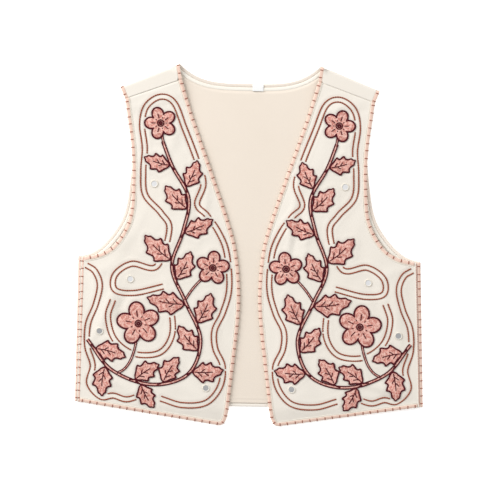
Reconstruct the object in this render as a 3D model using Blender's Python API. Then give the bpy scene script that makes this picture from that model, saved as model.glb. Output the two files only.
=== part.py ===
# A short embroidered waistcoat, laid flat on its back with its two fronts lying on it.
# Metres. +Z is up, +Y runs to the neck and +X to the wearer's left.
# The origin is under the middle of the garment, on the surface that it lies on.
import math
from collections import namedtuple

import bpy
import numpy as np
from mathutils import Vector, geometry

MM = 0.001

# Driving sizes: across is measured from the centre line, up from the middle of the length
NECK_POINT = np.array([102.0, 261.0]) * MM
SHOULDER_TIP = np.array([186.5, 226.5]) * MM
BACK_NECK_UP = 233.7 * MM
NECK_CURVE_POWER = 3.7
UNDERARM_UP = -22.0 * MM
CHEST_HALF = 248.0 * MM
HEM_HALF = 252.0 * MM
HEM_SIDE_UP = -230.3 * MM
BACK_HEM_DIP = 4.0 * MM
FRONT_HEM_DIP = 31.5 * MM
FRONT_CORNER_RADIUS = 17.0 * MM
SKEW = 0.0125

# Cloth
BACK_WALL = 1.8 * MM
FRONT_WALL = 2.0 * MM
LINING_WALL = 0.8 * MM
TAPE_WALL = 1.1 * MM
FRONT_BAND_WALL = 2.6 * MM
LEAF_WALL = 0.9 * MM
LABEL_WALL = 0.8 * MM
GAP = 0.3 * MM
LEAF_GAP = 0.5 * MM

# Widths of what is sewn along the edges
FRONT_BAND = 6.0 * MM
BACK_BAND = 5.0 * MM
SIDE_BAND = 4.0 * MM
TAPE = 5.0 * MM
TAPE_INSET = {"seam": 31.0 * MM, "side": 10.5 * MM, "other": 5.3 * MM}
LABEL_LEFT = 3.5 * MM
LABEL_WIDTH = 16.0 * MM
LABEL_LENGTH = 10.0 * MM

# The back turns up and over at the shoulders and the sides
SHOULDER_ROLL = 3.2 * MM
SIDE_ROLL = 2.2 * MM
ROLL_STEPS = 6
SEAM_NECK = np.array([5.45, 22.6]) * MM
SEAM_ARM = np.array([92.7, 18.9]) * MM
SIDE_SEAM_INSET = (5.0 * MM, 3.6 * MM)

# Heights of the middle of a front's wall, and how far in from each edge it settles
FRONT_CREST = 6.6 * MM
SETTLED = {"side": 5.3 * MM, "edge": 4.9 * MM, "hem": 4.9 * MM}
SETTLE_REACH = {"side": 55.0 * MM, "edge": 45.0 * MM, "hem": 45.0 * MM, "seam": 55.0 * MM}
CORNER_DROP = 2.9 * MM
CORNER_DROP_LENGTH = 26.0 * MM

# Spacing of the points in each wall
EDGE_STEP = 12.0 * MM
FRONT_LATTICE = 16.0 * MM
BACK_LATTICE = 48.0 * MM
ROLL_LATTICE = 16.0 * MM

Point = namedtuple("Point", "across up")
Fold = namedtuple("Fold", "across up turn length width height")
Leaf = namedtuple("Leaf", "along side length width lean")
Blossom = namedtuple("Blossom", "across up width turn")

# The armhole of a front, from the shoulder seam to the underarm, in millimetres
FRONT_ARMHOLE = (
    Point(177.3, 184.2),
    Point(171.1, 136.3),
    Point(169.8, 88.5),
    Point(174.0, 37.7),
    Point(191.4, 2.2),
    Point(213.0, -14.5),
)

# The armhole of the back, from the tip of the shoulder to the underarm, in millimetres
BACK_ARMHOLE = (
    Point(176.0, 190.0),
    Point(170.5, 136.3),
    Point(174.3, 82.7),
    Point(183.0, 39.2),
    Point(204.0, 5.8),
    Point(226.9, -13.8),
)

# The neck and centre-front edge of a front, from the shoulder seam to the corner, in millimetres
FRONT_EDGE = (
    Point(81.6, 183.4),
    Point(50.4, 94.0),
    Point(30.7, 36.3),
    Point(19.6, -3.5),
    Point(13.9, -52.0),
    Point(14.6, -110.0),
    Point(27.6, -224.8),
)

# Soft folds of each front: its middle, turn from +X in degrees, length, width and height in millimetres
RIGHT_FOLDS = (
    Fold(206.0, -95.0, 70.0, 150.0, 17.0, 0.6),
    Fold(232.0, -120.0, 80.0, 140.0, 15.0, -0.5),
    Fold(160.0, 60.0, 92.0, 120.0, 17.0, -0.5),
    Fold(140.0, 196.0, 158.0, 70.0, 15.0, -0.4),
    Fold(70.0, 90.0, 106.0, 150.0, 17.0, 0.5),
    Fold(150.0, -214.0, 172.0, 170.0, 13.0, 0.5),
)
LEFT_FOLDS = (
    Fold(196.0, -80.0, 112.0, 130.0, 16.0, 0.6),
    Fold(222.0, -140.0, 104.0, 150.0, 16.0, -0.5),
    Fold(152.0, 90.0, 84.0, 130.0, 18.0, -0.5),
    Fold(128.0, 200.0, 20.0, 60.0, 15.0, 0.3),
    Fold(62.0, 60.0, 72.0, 130.0, 16.0, 0.5),
    Fold(185.0, -212.0, 8.0, 130.0, 13.0, 0.5),
)

# The stitched stem that the leaves grow from, in millimetres
STEM = (
    Point(234.0, -140.0),
    Point(198.0, -184.0),
    Point(140.0, -204.0),
    Point(88.0, -188.0),
    Point(70.0, -138.0),
    Point(92.0, -84.0),
    Point(112.0, -34.0),
    Point(96.0, 18.0),
    Point(88.0, 66.0),
    Point(112.0, 112.0),
    Point(126.0, 148.0),
)

# Leaves: place along the stem from 0 to 1, side of the stem, length and width in millimetres, lean in degrees
LEAVES = (
    Leaf(0.030, -1, 44.0, 27.0, 40.0),
    Leaf(0.085, 1, 42.0, 27.0, 50.0),
    Leaf(0.172, -1, 40.0, 26.0, 50.0),
    Leaf(0.190, 1, 37.0, 24.0, 46.0),
    Leaf(0.250, -1, 42.0, 27.0, 50.0),
    Leaf(0.335, 1, 44.0, 28.0, 46.0),
    Leaf(0.395, -1, 44.0, 27.0, 50.0),
    Leaf(0.470, 1, 46.0, 29.0, 48.0),
    Leaf(0.530, -1, 54.0, 31.0, 56.0),
    Leaf(0.600, 1, 44.0, 27.0, 50.0),
    Leaf(0.655, -1, 50.0, 30.0, 58.0),
    Leaf(0.735, 1, 44.0, 26.0, 48.0),
    Leaf(0.800, -1, 44.0, 27.0, 52.0),
    Leaf(0.860, 1, 40.0, 25.0, 50.0),
    Leaf(0.930, -1, 38.0, 24.0, 48.0),
)
LEAF_STALK = 4.0 * MM
LEAF_STATIONS = 11
LEAF_TEETH = 3.5
LEAF_TOOTH_DEPTH = 0.16
LEAF_BEND = 0.12

# Blossoms with five petals: middle and width in millimetres, turn in degrees
BLOSSOMS = (
    Blossom(160.0, -116.0, 62.0, 10.0),
    Blossom(53.0, -34.0, 48.0, 25.0),
    Blossom(129.0, 174.0, 46.0, 0.0),
)
PETALS = 5
PETAL_DEPTH = 0.48

COLOURS = {
    "cream_cloth": (0.88, 0.84, 0.77),
    "beige_lining": (0.87, 0.79, 0.69),
    "cream_tape": (0.93, 0.90, 0.83),
    "pink_tape": (0.88, 0.62, 0.54),
    "pink_applique": (0.72, 0.35, 0.30),
    "white_label": (0.94, 0.94, 0.93),
}


def clear_scene():
    for obj in list(bpy.data.objects):
        bpy.data.objects.remove(obj)


def material(name):
    """One Principled material for each cloth."""
    found = bpy.data.materials.get(name)
    if found:
        return found
    made = bpy.data.materials.new(name)
    made.use_nodes = True
    shader = made.node_tree.nodes["Principled BSDF"]
    shader.inputs["Base Color"].default_value = (*COLOURS[name], 1.0)
    shader.inputs["Roughness"].default_value = 0.9
    shader.inputs["Metallic"].default_value = 0.0
    return made


def smooth(share):
    """0 below 0, 1 above 1, and an S between them."""
    t = np.clip(share, 0.0, 1.0)
    return t * t * (3.0 - 2.0 * t)


def unit(vector):
    return vector / np.linalg.norm(vector)


def in_metres(rows):
    return np.array([(row.across, row.up) for row in rows]) * MM


def spaced(line, step):
    """The line again, its points evenly spaced and about step apart."""
    along = np.concatenate([[0.0], np.cumsum(np.linalg.norm(np.diff(line, axis=0), axis=1))])
    count = max(2, round(along[-1] / step) + 1)
    at = np.linspace(0.0, along[-1], count)
    return np.stack([np.interp(at, along, line[:, k]) for k in range(2)], axis=1)


def curve_through(points, step):
    """A smooth curve through the points, by Catmull and Rom's rule with end points reflected."""
    points = np.asarray(points)
    before = 2.0 * points[0] - points[1]
    after = 2.0 * points[-1] - points[-2]
    control = np.vstack([before, points, after])
    t = np.linspace(0.0, 1.0, 16, endpoint=False)[:, None]
    pieces = []
    for a, b, c, d in zip(control, control[1:], control[2:], control[3:]):
        pieces.append(
            0.5 * (2.0 * b + (c - a) * t + (2.0 * a - 5.0 * b + 4.0 * c - d) * t**2
                   + (3.0 * b - a - 3.0 * c + d) * t**3)
        )
    return spaced(np.vstack(pieces + [points[-1:]]), step)


def across_line(start, end):
    """Unit vectors along a line and to its left."""
    along = unit(end - start)
    return along, np.array([-along[1], along[0]])


# The lines where the back starts to turn up, and the units along and away from them
SHOULDER_ALONG, SHOULDER_OUT = across_line(NECK_POINT, SHOULDER_TIP)
SHOULDER_START = NECK_POINT - SHOULDER_OUT * (SHOULDER_ROLL + BACK_WALL / 2)
SIDE_TOP = np.array([CHEST_HALF, UNDERARM_UP])
SIDE_BOTTOM = np.array([HEM_HALF, HEM_SIDE_UP])
SIDE_ALONG, SIDE_OUT = across_line(SIDE_BOTTOM, SIDE_TOP)
SIDE_OUT = -SIDE_OUT
SIDE_START = SIDE_BOTTOM - SIDE_OUT * (SIDE_ROLL + BACK_WALL / 2)
SIDE_LENGTH = float(np.linalg.norm(SIDE_TOP - SIDE_BOTTOM))


def side_seam_inset(along):
    """How far inside the outer fold the side seam lies, from the hem up."""
    top, bottom = SIDE_SEAM_INSET
    return bottom + (top - bottom) * along / SIDE_LENGTH


def side_seam(along, laid):
    """A point of the side seam, where it lies or in the flat cut."""
    beyond = side_seam_inset(along) - (SIDE_ROLL + BACK_WALL / 2)
    away = -beyond if laid else math.pi * SIDE_ROLL + beyond
    return SIDE_START + SIDE_ALONG * along + SIDE_OUT * away


def shoulder_seam(end, laid):
    """An end of the shoulder seam, where it lies or in the flat cut."""
    along, forward = end
    beyond = forward - (SHOULDER_ROLL + BACK_WALL / 2)
    away = -beyond if laid else math.pi * SHOULDER_ROLL + beyond
    return SHOULDER_START + SHOULDER_ALONG * along + SHOULDER_OUT * away


def back_neck(across):
    rise = NECK_POINT[1] - BACK_NECK_UP
    return BACK_NECK_UP + rise * (across / NECK_POINT[0]) ** NECK_CURVE_POWER


def back_edges():
    """The right-hand half of the back's flat cut, edge by edge, from the middle of the hem round to the neck."""
    corner = side_seam(0.0, laid=False)
    hem_across = np.linspace(0.0, corner[0], 12)
    dip = BACK_HEM_DIP * (1.0 - np.clip(hem_across / HEM_HALF, 0.0, 1.0) ** 2)
    hem = np.stack([hem_across, HEM_SIDE_UP - dip], axis=1)
    underarm = side_seam(SIDE_LENGTH, laid=False)
    side = spaced(np.array([hem[-1], underarm]), 4 * EDGE_STEP)
    tip = SHOULDER_START + SHOULDER_ALONG * SEAM_ARM[0]
    armhole = curve_through(np.vstack([tip, in_metres(BACK_ARMHOLE), underarm]), EDGE_STEP)[::-1]
    over_arm = spaced(np.array([tip, shoulder_seam(SEAM_ARM, laid=False)]), EDGE_STEP)
    seam = spaced(np.array([over_arm[-1], shoulder_seam(SEAM_NECK, laid=False)]), 3 * EDGE_STEP)
    neck_across = np.linspace(NECK_POINT[0] - 4.0 * MM, 0.0, 12)
    neck = np.stack([neck_across, back_neck(neck_across)], axis=1)
    middle = (SHOULDER_START + SHOULDER_OUT * math.pi * SHOULDER_ROLL / 2)[None]
    over_neck = np.vstack([seam[-1:], middle, neck[:1]])
    return {"hem": hem, "side": side, "armhole": np.vstack([armhole, over_arm[1:]]),
            "seam": seam, "neck": np.vstack([over_neck, neck[1:]])}


def front_edges():
    """A front's cut as it lies, edge by edge, from the shoulder seam down the front edge and round."""
    neck_end = shoulder_seam(SEAM_NECK, laid=True)
    arm_end = shoulder_seam(SEAM_ARM, laid=True)
    edge = curve_through(np.vstack([neck_end, in_metres(FRONT_EDGE)]), EDGE_STEP)
    down = unit(edge[-1] - edge[-2])
    corner = side_seam(0.0, laid=True)
    low = np.array([edge[-1][0] + FRONT_CORNER_RADIUS, HEM_SIDE_UP - FRONT_HEM_DIP])
    first = edge[-1] + down * 1.5 * FRONT_CORNER_RADIUS
    second = low - unit(corner - low) * 0.7 * FRONT_CORNER_RADIUS
    t = np.linspace(0.0, 1.0, 8)[1:, None]
    turn = ((1 - t) ** 3 * edge[-1] + 3 * (1 - t) ** 2 * t * first
            + 3 * (1 - t) * t**2 * second + t**3 * low)
    edge = np.vstack([edge, turn, spaced(np.array([low, corner]), EDGE_STEP)[1:]])
    side = spaced(np.array([corner, side_seam(SIDE_LENGTH, laid=True)]), 2 * EDGE_STEP)
    armhole = curve_through(np.vstack([arm_end, in_metres(FRONT_ARMHOLE), side[-1]]), EDGE_STEP)[::-1]
    seam = spaced(np.array([arm_end, neck_end]), 2 * EDGE_STEP)
    return {"edge": edge, "side": side, "armhole": armhole, "seam": seam}


def mirrored(line):
    """A line of the other half, run the other way."""
    return line[::-1] * np.array([-1.0, 1.0])


def roll_levels(radius):
    return np.linspace(0.0, math.pi * radius, ROLL_STEPS + 1)


def with_roll_points(line):
    """The line with points added where it crosses each step of a roll."""
    added = []
    for start, out, radius in ((SHOULDER_START, SHOULDER_OUT, SHOULDER_ROLL),
                               (SIDE_START, SIDE_OUT, SIDE_ROLL)):
        away = (line - start) @ out
        for level in roll_levels(radius):
            for i in range(len(line) - 1):
                low, high = away[i] - level, away[i + 1] - level
                if low * high < 0.0:
                    added.append(i + low / (low - high))
    places = np.array([k for k in added if min(k % 1.0, 1.0 - k % 1.0) > 0.04])
    order = np.sort(np.concatenate([np.arange(len(line)), places]))
    return np.stack([np.interp(order, np.arange(len(line)), line[:, k]) for k in range(2)], axis=1)


def whole_back_edges():
    """Both halves of the back's flat cut, edge by edge, counter-clockwise from the hem."""
    half = {name: with_roll_points(line) for name, line in back_edges().items()}
    return {
        "hem": np.vstack([mirrored(half["hem"])[:-1], half["hem"]]),
        "left_side": half["side"],
        "left_armhole": half["armhole"],
        "left_seam": half["seam"],
        "neck": np.vstack([half["neck"], mirrored(half["neck"])[1:]]),
        "right_seam": mirrored(half["seam"]),
        "right_armhole": mirrored(half["armhole"]),
        "right_side": mirrored(half["side"]),
    }


def distances(line):
    return np.concatenate([[0.0], np.cumsum(np.linalg.norm(np.diff(line, axis=0), axis=1))])


def point_at(line, distance):
    """A point at a distance along a line, which may lie just beyond either end."""
    along = distances(line)
    i = int(np.clip(np.searchsorted(along, distance) - 1, 0, len(line) - 2))
    share = (distance - along[i]) / (along[i + 1] - along[i])
    return line[i] + (line[i + 1] - line[i]) * share


def moved_left(line, width):
    """The line moved to its left by a width, with mitred bends."""
    run = np.diff(line, axis=0)
    run /= np.linalg.norm(run, axis=1)[:, None]
    left = np.stack([-run[:, 1], run[:, 0]], axis=1)
    before = np.vstack([left[:1], left])
    after = np.vstack([left, left[-1:]])
    return line + (before + after) * width / (1.0 + np.sum(before * after, axis=1))[:, None]


def cross(a, b):
    return a[..., 0] * b[..., 1] - a[..., 1] * b[..., 0]


def crossing(first, second):
    """Distances along two lines to where the first, run on at its end, meets the second's start."""
    a, b = first[:-1, None], np.diff(first, axis=0)[:, None]
    c, d = second[None, :-1], np.diff(second, axis=0)[None]
    turn = cross(b, d)
    turn = np.where(np.abs(turn) < 1e-14, 1e-14, turn)
    s = cross(c - a, d) / turn
    t = cross(c - a, b) / turn
    i, j = np.indices(s.shape)
    met = (s >= 0) & ((s <= 1) | (i == s.shape[0] - 1)) & (t <= 1) & ((t >= 0) | (j == 0))
    score = np.where(met, (i + s) - (j + t) - 1e3 * (np.abs(s) + np.abs(t) > 60.0), -1e9)
    row, column = np.unravel_index(np.argmax(score), score.shape)
    lengths = np.linalg.norm(b[row, 0]), np.linalg.norm(d[0, column])
    return (distances(first)[row] + s[row, column] * lengths[0],
            distances(second)[column] + t[row, column] * lengths[1])


def inset(edges, widths):
    """Each edge moved inwards by its width, with the distances at which its neighbours cut it."""
    names = list(edges)
    lines = {name: moved_left(edges[name], widths[name]) for name in names}
    start, stop = {}, {}
    for name, following in zip(names, names[1:] + names[:1]):
        stop[name], start[following] = crossing(lines[name], lines[following])
    return {name: (lines[name], start[name], stop[name]) for name in names}


def part_of(line, start, stop):
    """The part of a line between two distances along it."""
    along = distances(line)
    keep = (along > start + 0.5 * MM) & (along < stop - 0.5 * MM)
    return np.vstack([point_at(line, start), line[keep], point_at(line, stop)])


def loop_of(edges, widths):
    """The closed outline left when each edge is moved in by its width."""
    return np.vstack([part_of(*piece)[:-1] for piece in inset(edges, widths).values()])


def inside(points, loop):
    """Which points lie inside a closed outline."""
    low, high = loop, np.roll(loop, -1, axis=0)
    x, y = points[:, 0, None], points[:, 1, None]
    spans = (low[:, 1] > y) != (high[:, 1] > y)
    rise = np.where(high[:, 1] == low[:, 1], 1.0, high[:, 1] - low[:, 1])
    meets = low[:, 0] + (y - low[:, 1]) * (high[:, 0] - low[:, 0]) / rise
    return np.sum(spans & (x < meets), axis=1) % 2 == 1


def clearance(points, loop):
    """The distance from each point to the nearest side of a closed outline."""
    side = np.roll(loop, -1, axis=0) - loop
    away = points[:, None] - loop
    share = np.clip(np.sum(away * side, axis=2) / np.sum(side * side, axis=1), 0.0, 1.0)
    return np.linalg.norm(away - share[..., None] * side, axis=2).min(axis=1)


def lattice(loop, step, clear):
    """Points of a triangular lattice inside an outline."""
    low, high = loop.min(axis=0), loop.max(axis=0)
    rows = np.arange(low[1] + step / 2, high[1], step * 0.866)
    across = np.arange(low[0] + step / 2, high[0], step)
    x, y = np.meshgrid(across, rows)
    x = x + (np.arange(len(rows)) % 2)[:, None] * step / 2
    points = np.stack([x.ravel(), y.ravel()], axis=1)
    points = points[inside(points, loop)]
    return points[clearance(points, loop) > clear]


def filled(loop, points, kept=()):
    """Triangles that fill an outline, with corners at its own and other points; kept sides stay whole."""
    corners = [Vector(p) for p in np.vstack([loop, points]) / MM]
    result = geometry.delaunay_2d_cdt(corners, list(kept), [list(range(len(loop)))], 1, 1e-4)
    found = np.array([tuple(v) for v in result[0]]) * MM
    return found, [tuple(face) for face in result[2]]


def rolled(points, start, out, radius):
    """The shift and the height of cloth that turns up and over beyond a line."""
    beyond = (points - start) @ out
    angle = np.clip(beyond / radius, 0.0, math.pi)
    past = np.maximum(beyond - math.pi * radius, 0.0)
    run = np.where(beyond > 0.0, radius * np.sin(angle) - past, beyond)
    return (run - beyond)[:, None] * out, radius * (1.0 - np.cos(angle))


def back_surface(points):
    """The middle of the back's wall: flat on the floor, then up and over at the shoulders and the sides."""
    half = np.stack([np.abs(points[:, 0]), points[:, 1]], axis=1)
    shoulder_shift, shoulder_height = rolled(half, SHOULDER_START, SHOULDER_OUT, SHOULDER_ROLL)
    side_shift, side_height = rolled(half, SIDE_START, SIDE_OUT, SIDE_ROLL)
    laid = half + shoulder_shift + side_shift
    height = BACK_WALL / 2 + shoulder_height + side_height
    return np.stack([laid[:, 0] * np.sign(points[:, 0] + 1e-12), laid[:, 1], height], axis=1)


def back_hem_up(across):
    return HEM_SIDE_UP - BACK_HEM_DIP * (1.0 - np.clip(across / HEM_HALF, 0.0, 1.0) ** 2)


def front_surface(folds, edges):
    """The middle of a front's wall: a low swell that settles at its edges, with soft folds on it."""
    line = edges["edge"]
    lowest = int(np.argmin(line[:, 1]))
    edge_up, edge_across = line[:lowest + 1, 1][::-1], line[:lowest + 1, 0][::-1]
    hem_across, hem_up = line[lowest:, 0], line[lowest:, 1]
    seam_start = edges["seam"][-1]
    seam_along = unit(edges["seam"][0] - seam_start)
    seam_in = np.array([seam_along[1], -seam_along[0]])

    def surface(points):
        x, y = points[:, 0], points[:, 1]
        away = {
            "side": SIDE_ROLL + BACK_WALL / 2 - SIDE_SEAM_INSET[0] - (points - SIDE_START) @ SIDE_OUT,
            "edge": x - np.interp(y, edge_up, edge_across),
            "hem": y - np.interp(x, hem_across, hem_up),
        }
        from_seam = smooth((points - seam_start) @ seam_in / SETTLE_REACH["seam"])
        drops = [(FRONT_CREST - SETTLED[name]) * (1.0 - smooth(away[name] / SETTLE_REACH[name]))
                 for name in SETTLED]
        drop = np.sum(np.array(drops) ** 4, axis=0) ** 0.25 * from_seam
        seam_level = BACK_WALL / 2 + 2.0 * SHOULDER_ROLL
        height = FRONT_CREST - drop + (seam_level - FRONT_CREST) * (1.0 - from_seam)
        height -= CORNER_DROP * smooth((back_hem_up(x) - y) / CORNER_DROP_LENGTH)
        calm = smooth(away["side"] / (30.0 * MM)) * from_seam
        for fold in folds:
            turn = math.radians(fold.turn)
            from_middle = points - np.array([fold.across, fold.up]) * MM
            u = from_middle @ np.array([math.cos(turn), math.sin(turn)]) / (fold.length * MM / 2)
            v = from_middle @ np.array([-math.sin(turn), math.cos(turn)]) / (fold.width * MM)
            height += fold.height * MM * np.exp(-v**2 - u**4) * calm
        return np.stack([x, y, height], axis=1)

    return surface


def label_surface(points):
    """The middle of the label's wall, which climbs from the neck band onto the tape."""
    over_band = BACK_WALL + GAP + LABEL_WALL / 2
    climb = smooth((BACK_NECK_UP - 1.5 * MM - points[:, 1]) / (3.0 * MM))
    return np.column_stack([points, over_band + (TAPE_WALL + GAP) * climb])


def laid(surface, points, lift):
    """Points laid on a surface and moved off it along its normals."""
    step = 0.01 * MM
    here = surface(points)
    across = surface(points + np.array([step, 0.0])) - here
    up = surface(points + np.array([0.0, step])) - here
    normal = np.cross(across, up)
    return here + normal / np.linalg.norm(normal, axis=1)[:, None] * lift


def add_wall(name, points, faces, surface, low, high, colour, side=1):
    """A closed wall: a flat piece laid at two lifts from a surface and joined round its edges."""
    count = len(points)
    solid = np.vstack([laid(surface, points, high), laid(surface, points, low)])
    solid[:, 0] *= side
    solid[:, 1] -= SKEW * solid[:, 0]
    triangles = []
    for face in faces:
        triangles += [(face[0], b, c) for b, c in zip(face[1:], face[2:])]
    edges = {(a, b) for tri in triangles for a, b in zip(tri, tri[1:] + tri[:1])}
    rim = [(a, b) for a, b in edges if (b, a) not in edges]
    shell = list(triangles)
    shell += [(c + count, b + count, a + count) for a, b, c in triangles]
    shell += [(b, a, a + count) for a, b in rim] + [(b, a + count, b + count) for a, b in rim]
    if side < 0:
        shell = [tri[::-1] for tri in shell]
    mesh = bpy.data.meshes.new(name)
    mesh.from_pydata(solid.tolist(), [], shell)
    mesh.update()
    obj = bpy.data.objects.new(name, mesh)
    mesh.materials.append(material(colour))
    bpy.context.scene.collection.objects.link(obj)
    return obj


def strip(outer, inner, rows):
    """The points and faces of a strip between two lines of as many points."""
    share = np.linspace(0.0, 1.0, rows)[:, None, None]
    points = (outer * (1.0 - share) + inner * share).reshape(-1, 2)
    count = len(outer)
    faces = [(r * count + i, r * count + i + 1, (r + 1) * count + i + 1, (r + 1) * count + i)
             for r in range(rows - 1) for i in range(count - 1)]
    return points, faces


def band(edges, name, near, far, ends, rows=2):
    """A strip along one edge, between two widths in from it, that stops at its neighbours' own widths."""
    outer, start, stop = inset(edges, {**ends, name: near})[name]
    inner, inner_start, inner_stop = inset(edges, {**ends, name: far})[name]
    out_at, in_at = distances(outer), distances(inner)
    keep = (out_at > start + 0.8 * MM) & (out_at < stop - 0.8 * MM)
    keep &= (in_at > inner_start + 0.8 * MM) & (in_at < inner_stop - 0.8 * MM)
    sides = [np.vstack([point_at(line, first), line[keep], point_at(line, last)])
             for line, first, last in ((outer, start, stop), (inner, inner_start, inner_stop))]
    return strip(*sides, rows)


def back_panel(loop):
    """The back's points and triangles, with whole lines of sides along each step of its rolls."""
    loop = with_roll_points(np.vstack([loop, loop[:1]]))[:-1]
    loop = with_roll_points(np.vstack([loop, loop[:1]]) * np.array([-1.0, 1.0]))[:-1] * np.array([-1.0, 1.0])
    plain = lattice(loop, BACK_LATTICE, 12.0 * MM)
    plain = plain[np.hypot(*(back_surface(plain)[:, :2] - plain).T) < 1e-9]
    points = np.vstack([loop, plain])
    kept = []
    for start, along, out, radius, step in (
            (SHOULDER_START, SHOULDER_ALONG, SHOULDER_OUT, SHOULDER_ROLL, ROLL_LATTICE),
            (SIDE_START, SIDE_ALONG, SIDE_OUT, SIDE_ROLL, 3 * ROLL_LATTICE)):
        for side in (1.0, -1.0):
            flip = np.array([side, 1.0])
            for level in roll_levels(radius):
                line = (start + along * np.arange(-step, 400.0 * MM, step)[:, None] + out * level) * flip
                line = line[inside(line, loop)]
                line = line[clearance(line, loop) > 3.0 * MM]
                on_rim = np.abs((loop * flip - start) @ out - level) < 0.002 * MM
                members = list(np.flatnonzero(on_rim)) + list(range(len(points), len(points) + len(line)))
                points = np.vstack([points, line])
                members.sort(key=lambda k: float((points[k] * flip - start) @ along))
                for a, b in zip(members, members[1:]):
                    middle = (points[a] + points[b]) / 2
                    if inside(middle[None], loop)[0] and clearance(middle[None], loop)[0] > 0.05 * MM:
                        kept.append((a, b))
    return filled(loop, points[len(loop):], kept)


def build_back():
    edges = whole_back_edges()
    seam_gap = {name: GAP / 2 if "seam" in name or "side" in name else 0.0 for name in edges}
    width = {name: SIDE_BAND if "side" in name else 0.0 if "seam" in name else BACK_BAND
             for name in edges}
    to_band = {name: seam_gap[name] + width[name] for name in edges}
    to_panel = {name: to_band[name] + (GAP if width[name] else 0.0) for name in edges}
    no_width = {name: 0.0 for name in edges}

    half = BACK_WALL / 2
    add_wall("back", *back_panel(loop_of(edges, to_panel)), back_surface, -half, half, "cream_cloth")

    for name, title in (("hem", "back_hem_band"), ("neck", "back_neck_band"),
                        ("left_side", "back_side_band_left"), ("right_side", "back_side_band_right"),
                        ("left_armhole", "back_armhole_band_left"),
                        ("right_armhole", "back_armhole_band_right")):
        ends, rows = (no_width, 4) if "side" in name else (to_panel, 2)
        shape = band(edges, name, seam_gap[name], to_band[name], ends, rows)
        add_wall(title, *shape, back_surface, -half, half, "pink_tape")

    tape_in = {name: TAPE_INSET["seam" if "seam" in name else "side" if "side" in name else "other"]
               for name in edges}
    taped = ("neck", "left_armhole", "right_armhole")
    tape_out = {name: tape_in[name] + (TAPE if name in taped else 0.0) for name in edges}
    for name, title in zip(taped, ("inside_neck_tape", "inside_armhole_tape_left",
                                   "inside_armhole_tape_right")):
        shape = band(edges, name, tape_in[name], tape_out[name], tape_in)
        add_wall(title, *shape, back_surface, half + GAP, half + GAP + TAPE_WALL, "cream_tape")

    lining_loop = loop_of(edges, {name: tape_out[name] + GAP for name in edges})
    shape = filled(lining_loop, lattice(lining_loop, 60.0 * MM, 15.0 * MM))
    add_wall("back_lining", *shape, back_surface, half + GAP, half + GAP + LINING_WALL, "beige_lining")

    left, right = LABEL_LEFT, LABEL_LEFT + LABEL_WIDTH
    ups = BACK_NECK_UP - 1.0 * MM - np.linspace(0.0, LABEL_LENGTH, 9)
    lines = [np.stack([np.full(9, across), ups], axis=1) for across in (right, left)]
    add_wall("neck_label", *strip(lines[1], lines[0], 2), label_surface,
             -LABEL_WALL / 2, LABEL_WALL / 2, "white_label")


def leaf_shape(leaf, stem):
    """A pointed leaf that grows from the stem: a bent midrib and two softly notched edges."""
    reach = distances(stem)
    base = point_at(stem, leaf.along * reach[-1])
    ahead = point_at(stem, leaf.along * reach[-1] + 1.0 * MM) - point_at(
        stem, leaf.along * reach[-1] - 1.0 * MM)
    heading = math.atan2(ahead[1], ahead[0]) + leaf.side * math.radians(leaf.lean)
    t = np.linspace(0.0, 1.0, LEAF_STATIONS)
    length, half = leaf.length * MM, leaf.width * MM / 2
    notch = 1.0 - LEAF_TOOTH_DEPTH * np.abs(np.sin(math.pi * LEAF_TEETH * t))
    spread = half * np.sin(math.pi * t**0.8) * (1.1 - 0.2 * t) * notch
    turn = heading - leaf.side * LEAF_BEND * math.pi * (t - 0.5)
    steps = np.stack([np.cos(turn), np.sin(turn)], axis=1) * length / (LEAF_STATIONS - 1)
    rib = base + unit(steps[0]) * LEAF_STALK + np.vstack([[[0.0, 0.0]], np.cumsum(steps[:-1], axis=0)])
    sideways = np.stack([-np.sin(turn), np.cos(turn)], axis=1) * spread[:, None]
    left, right = (rib + sideways)[1:-1], (rib - sideways)[1:-1]
    points = np.vstack([rib, left, right])
    last, count = LEAF_STATIONS - 1, LEAF_STATIONS - 2
    lefts = [last + 1 + k for k in range(count)]
    rights = [last + 1 + count + k for k in range(count)]
    faces = [(0, 1, lefts[0]), (0, rights[0], 1), (last - 1, last, lefts[-1]), (last - 1, rights[-1], last)]
    for k in range(count - 1):
        faces += [(k + 1, k + 2, lefts[k + 1], lefts[k]), (k + 1, rights[k], rights[k + 1], k + 2)]
    return points, faces


def blossom_shape(blossom):
    """A blossom of five round petals: its middle, a ring half way out and its outline."""
    count = 8 * PETALS
    angle = np.arange(count) * 2.0 * math.pi / count
    petals = PETAL_DEPTH * np.abs(np.cos(PETALS / 2 * angle)) ** 0.75
    reach = blossom.width * MM / 2 * (1.0 - PETAL_DEPTH + petals)
    turn = angle + math.radians(blossom.turn)
    ring = np.stack([np.cos(turn), np.sin(turn)], axis=1) * reach[:, None]
    points = np.array([blossom.across, blossom.up]) * MM + np.vstack([[[0.0, 0.0]], ring * 0.5, ring])
    faces = []
    for k in range(count):
        following = (k + 1) % count
        faces += [(0, 1 + k, 1 + following),
                  (1 + k, 1 + count + k, 1 + count + following, 1 + following)]
    return points, faces


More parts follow.
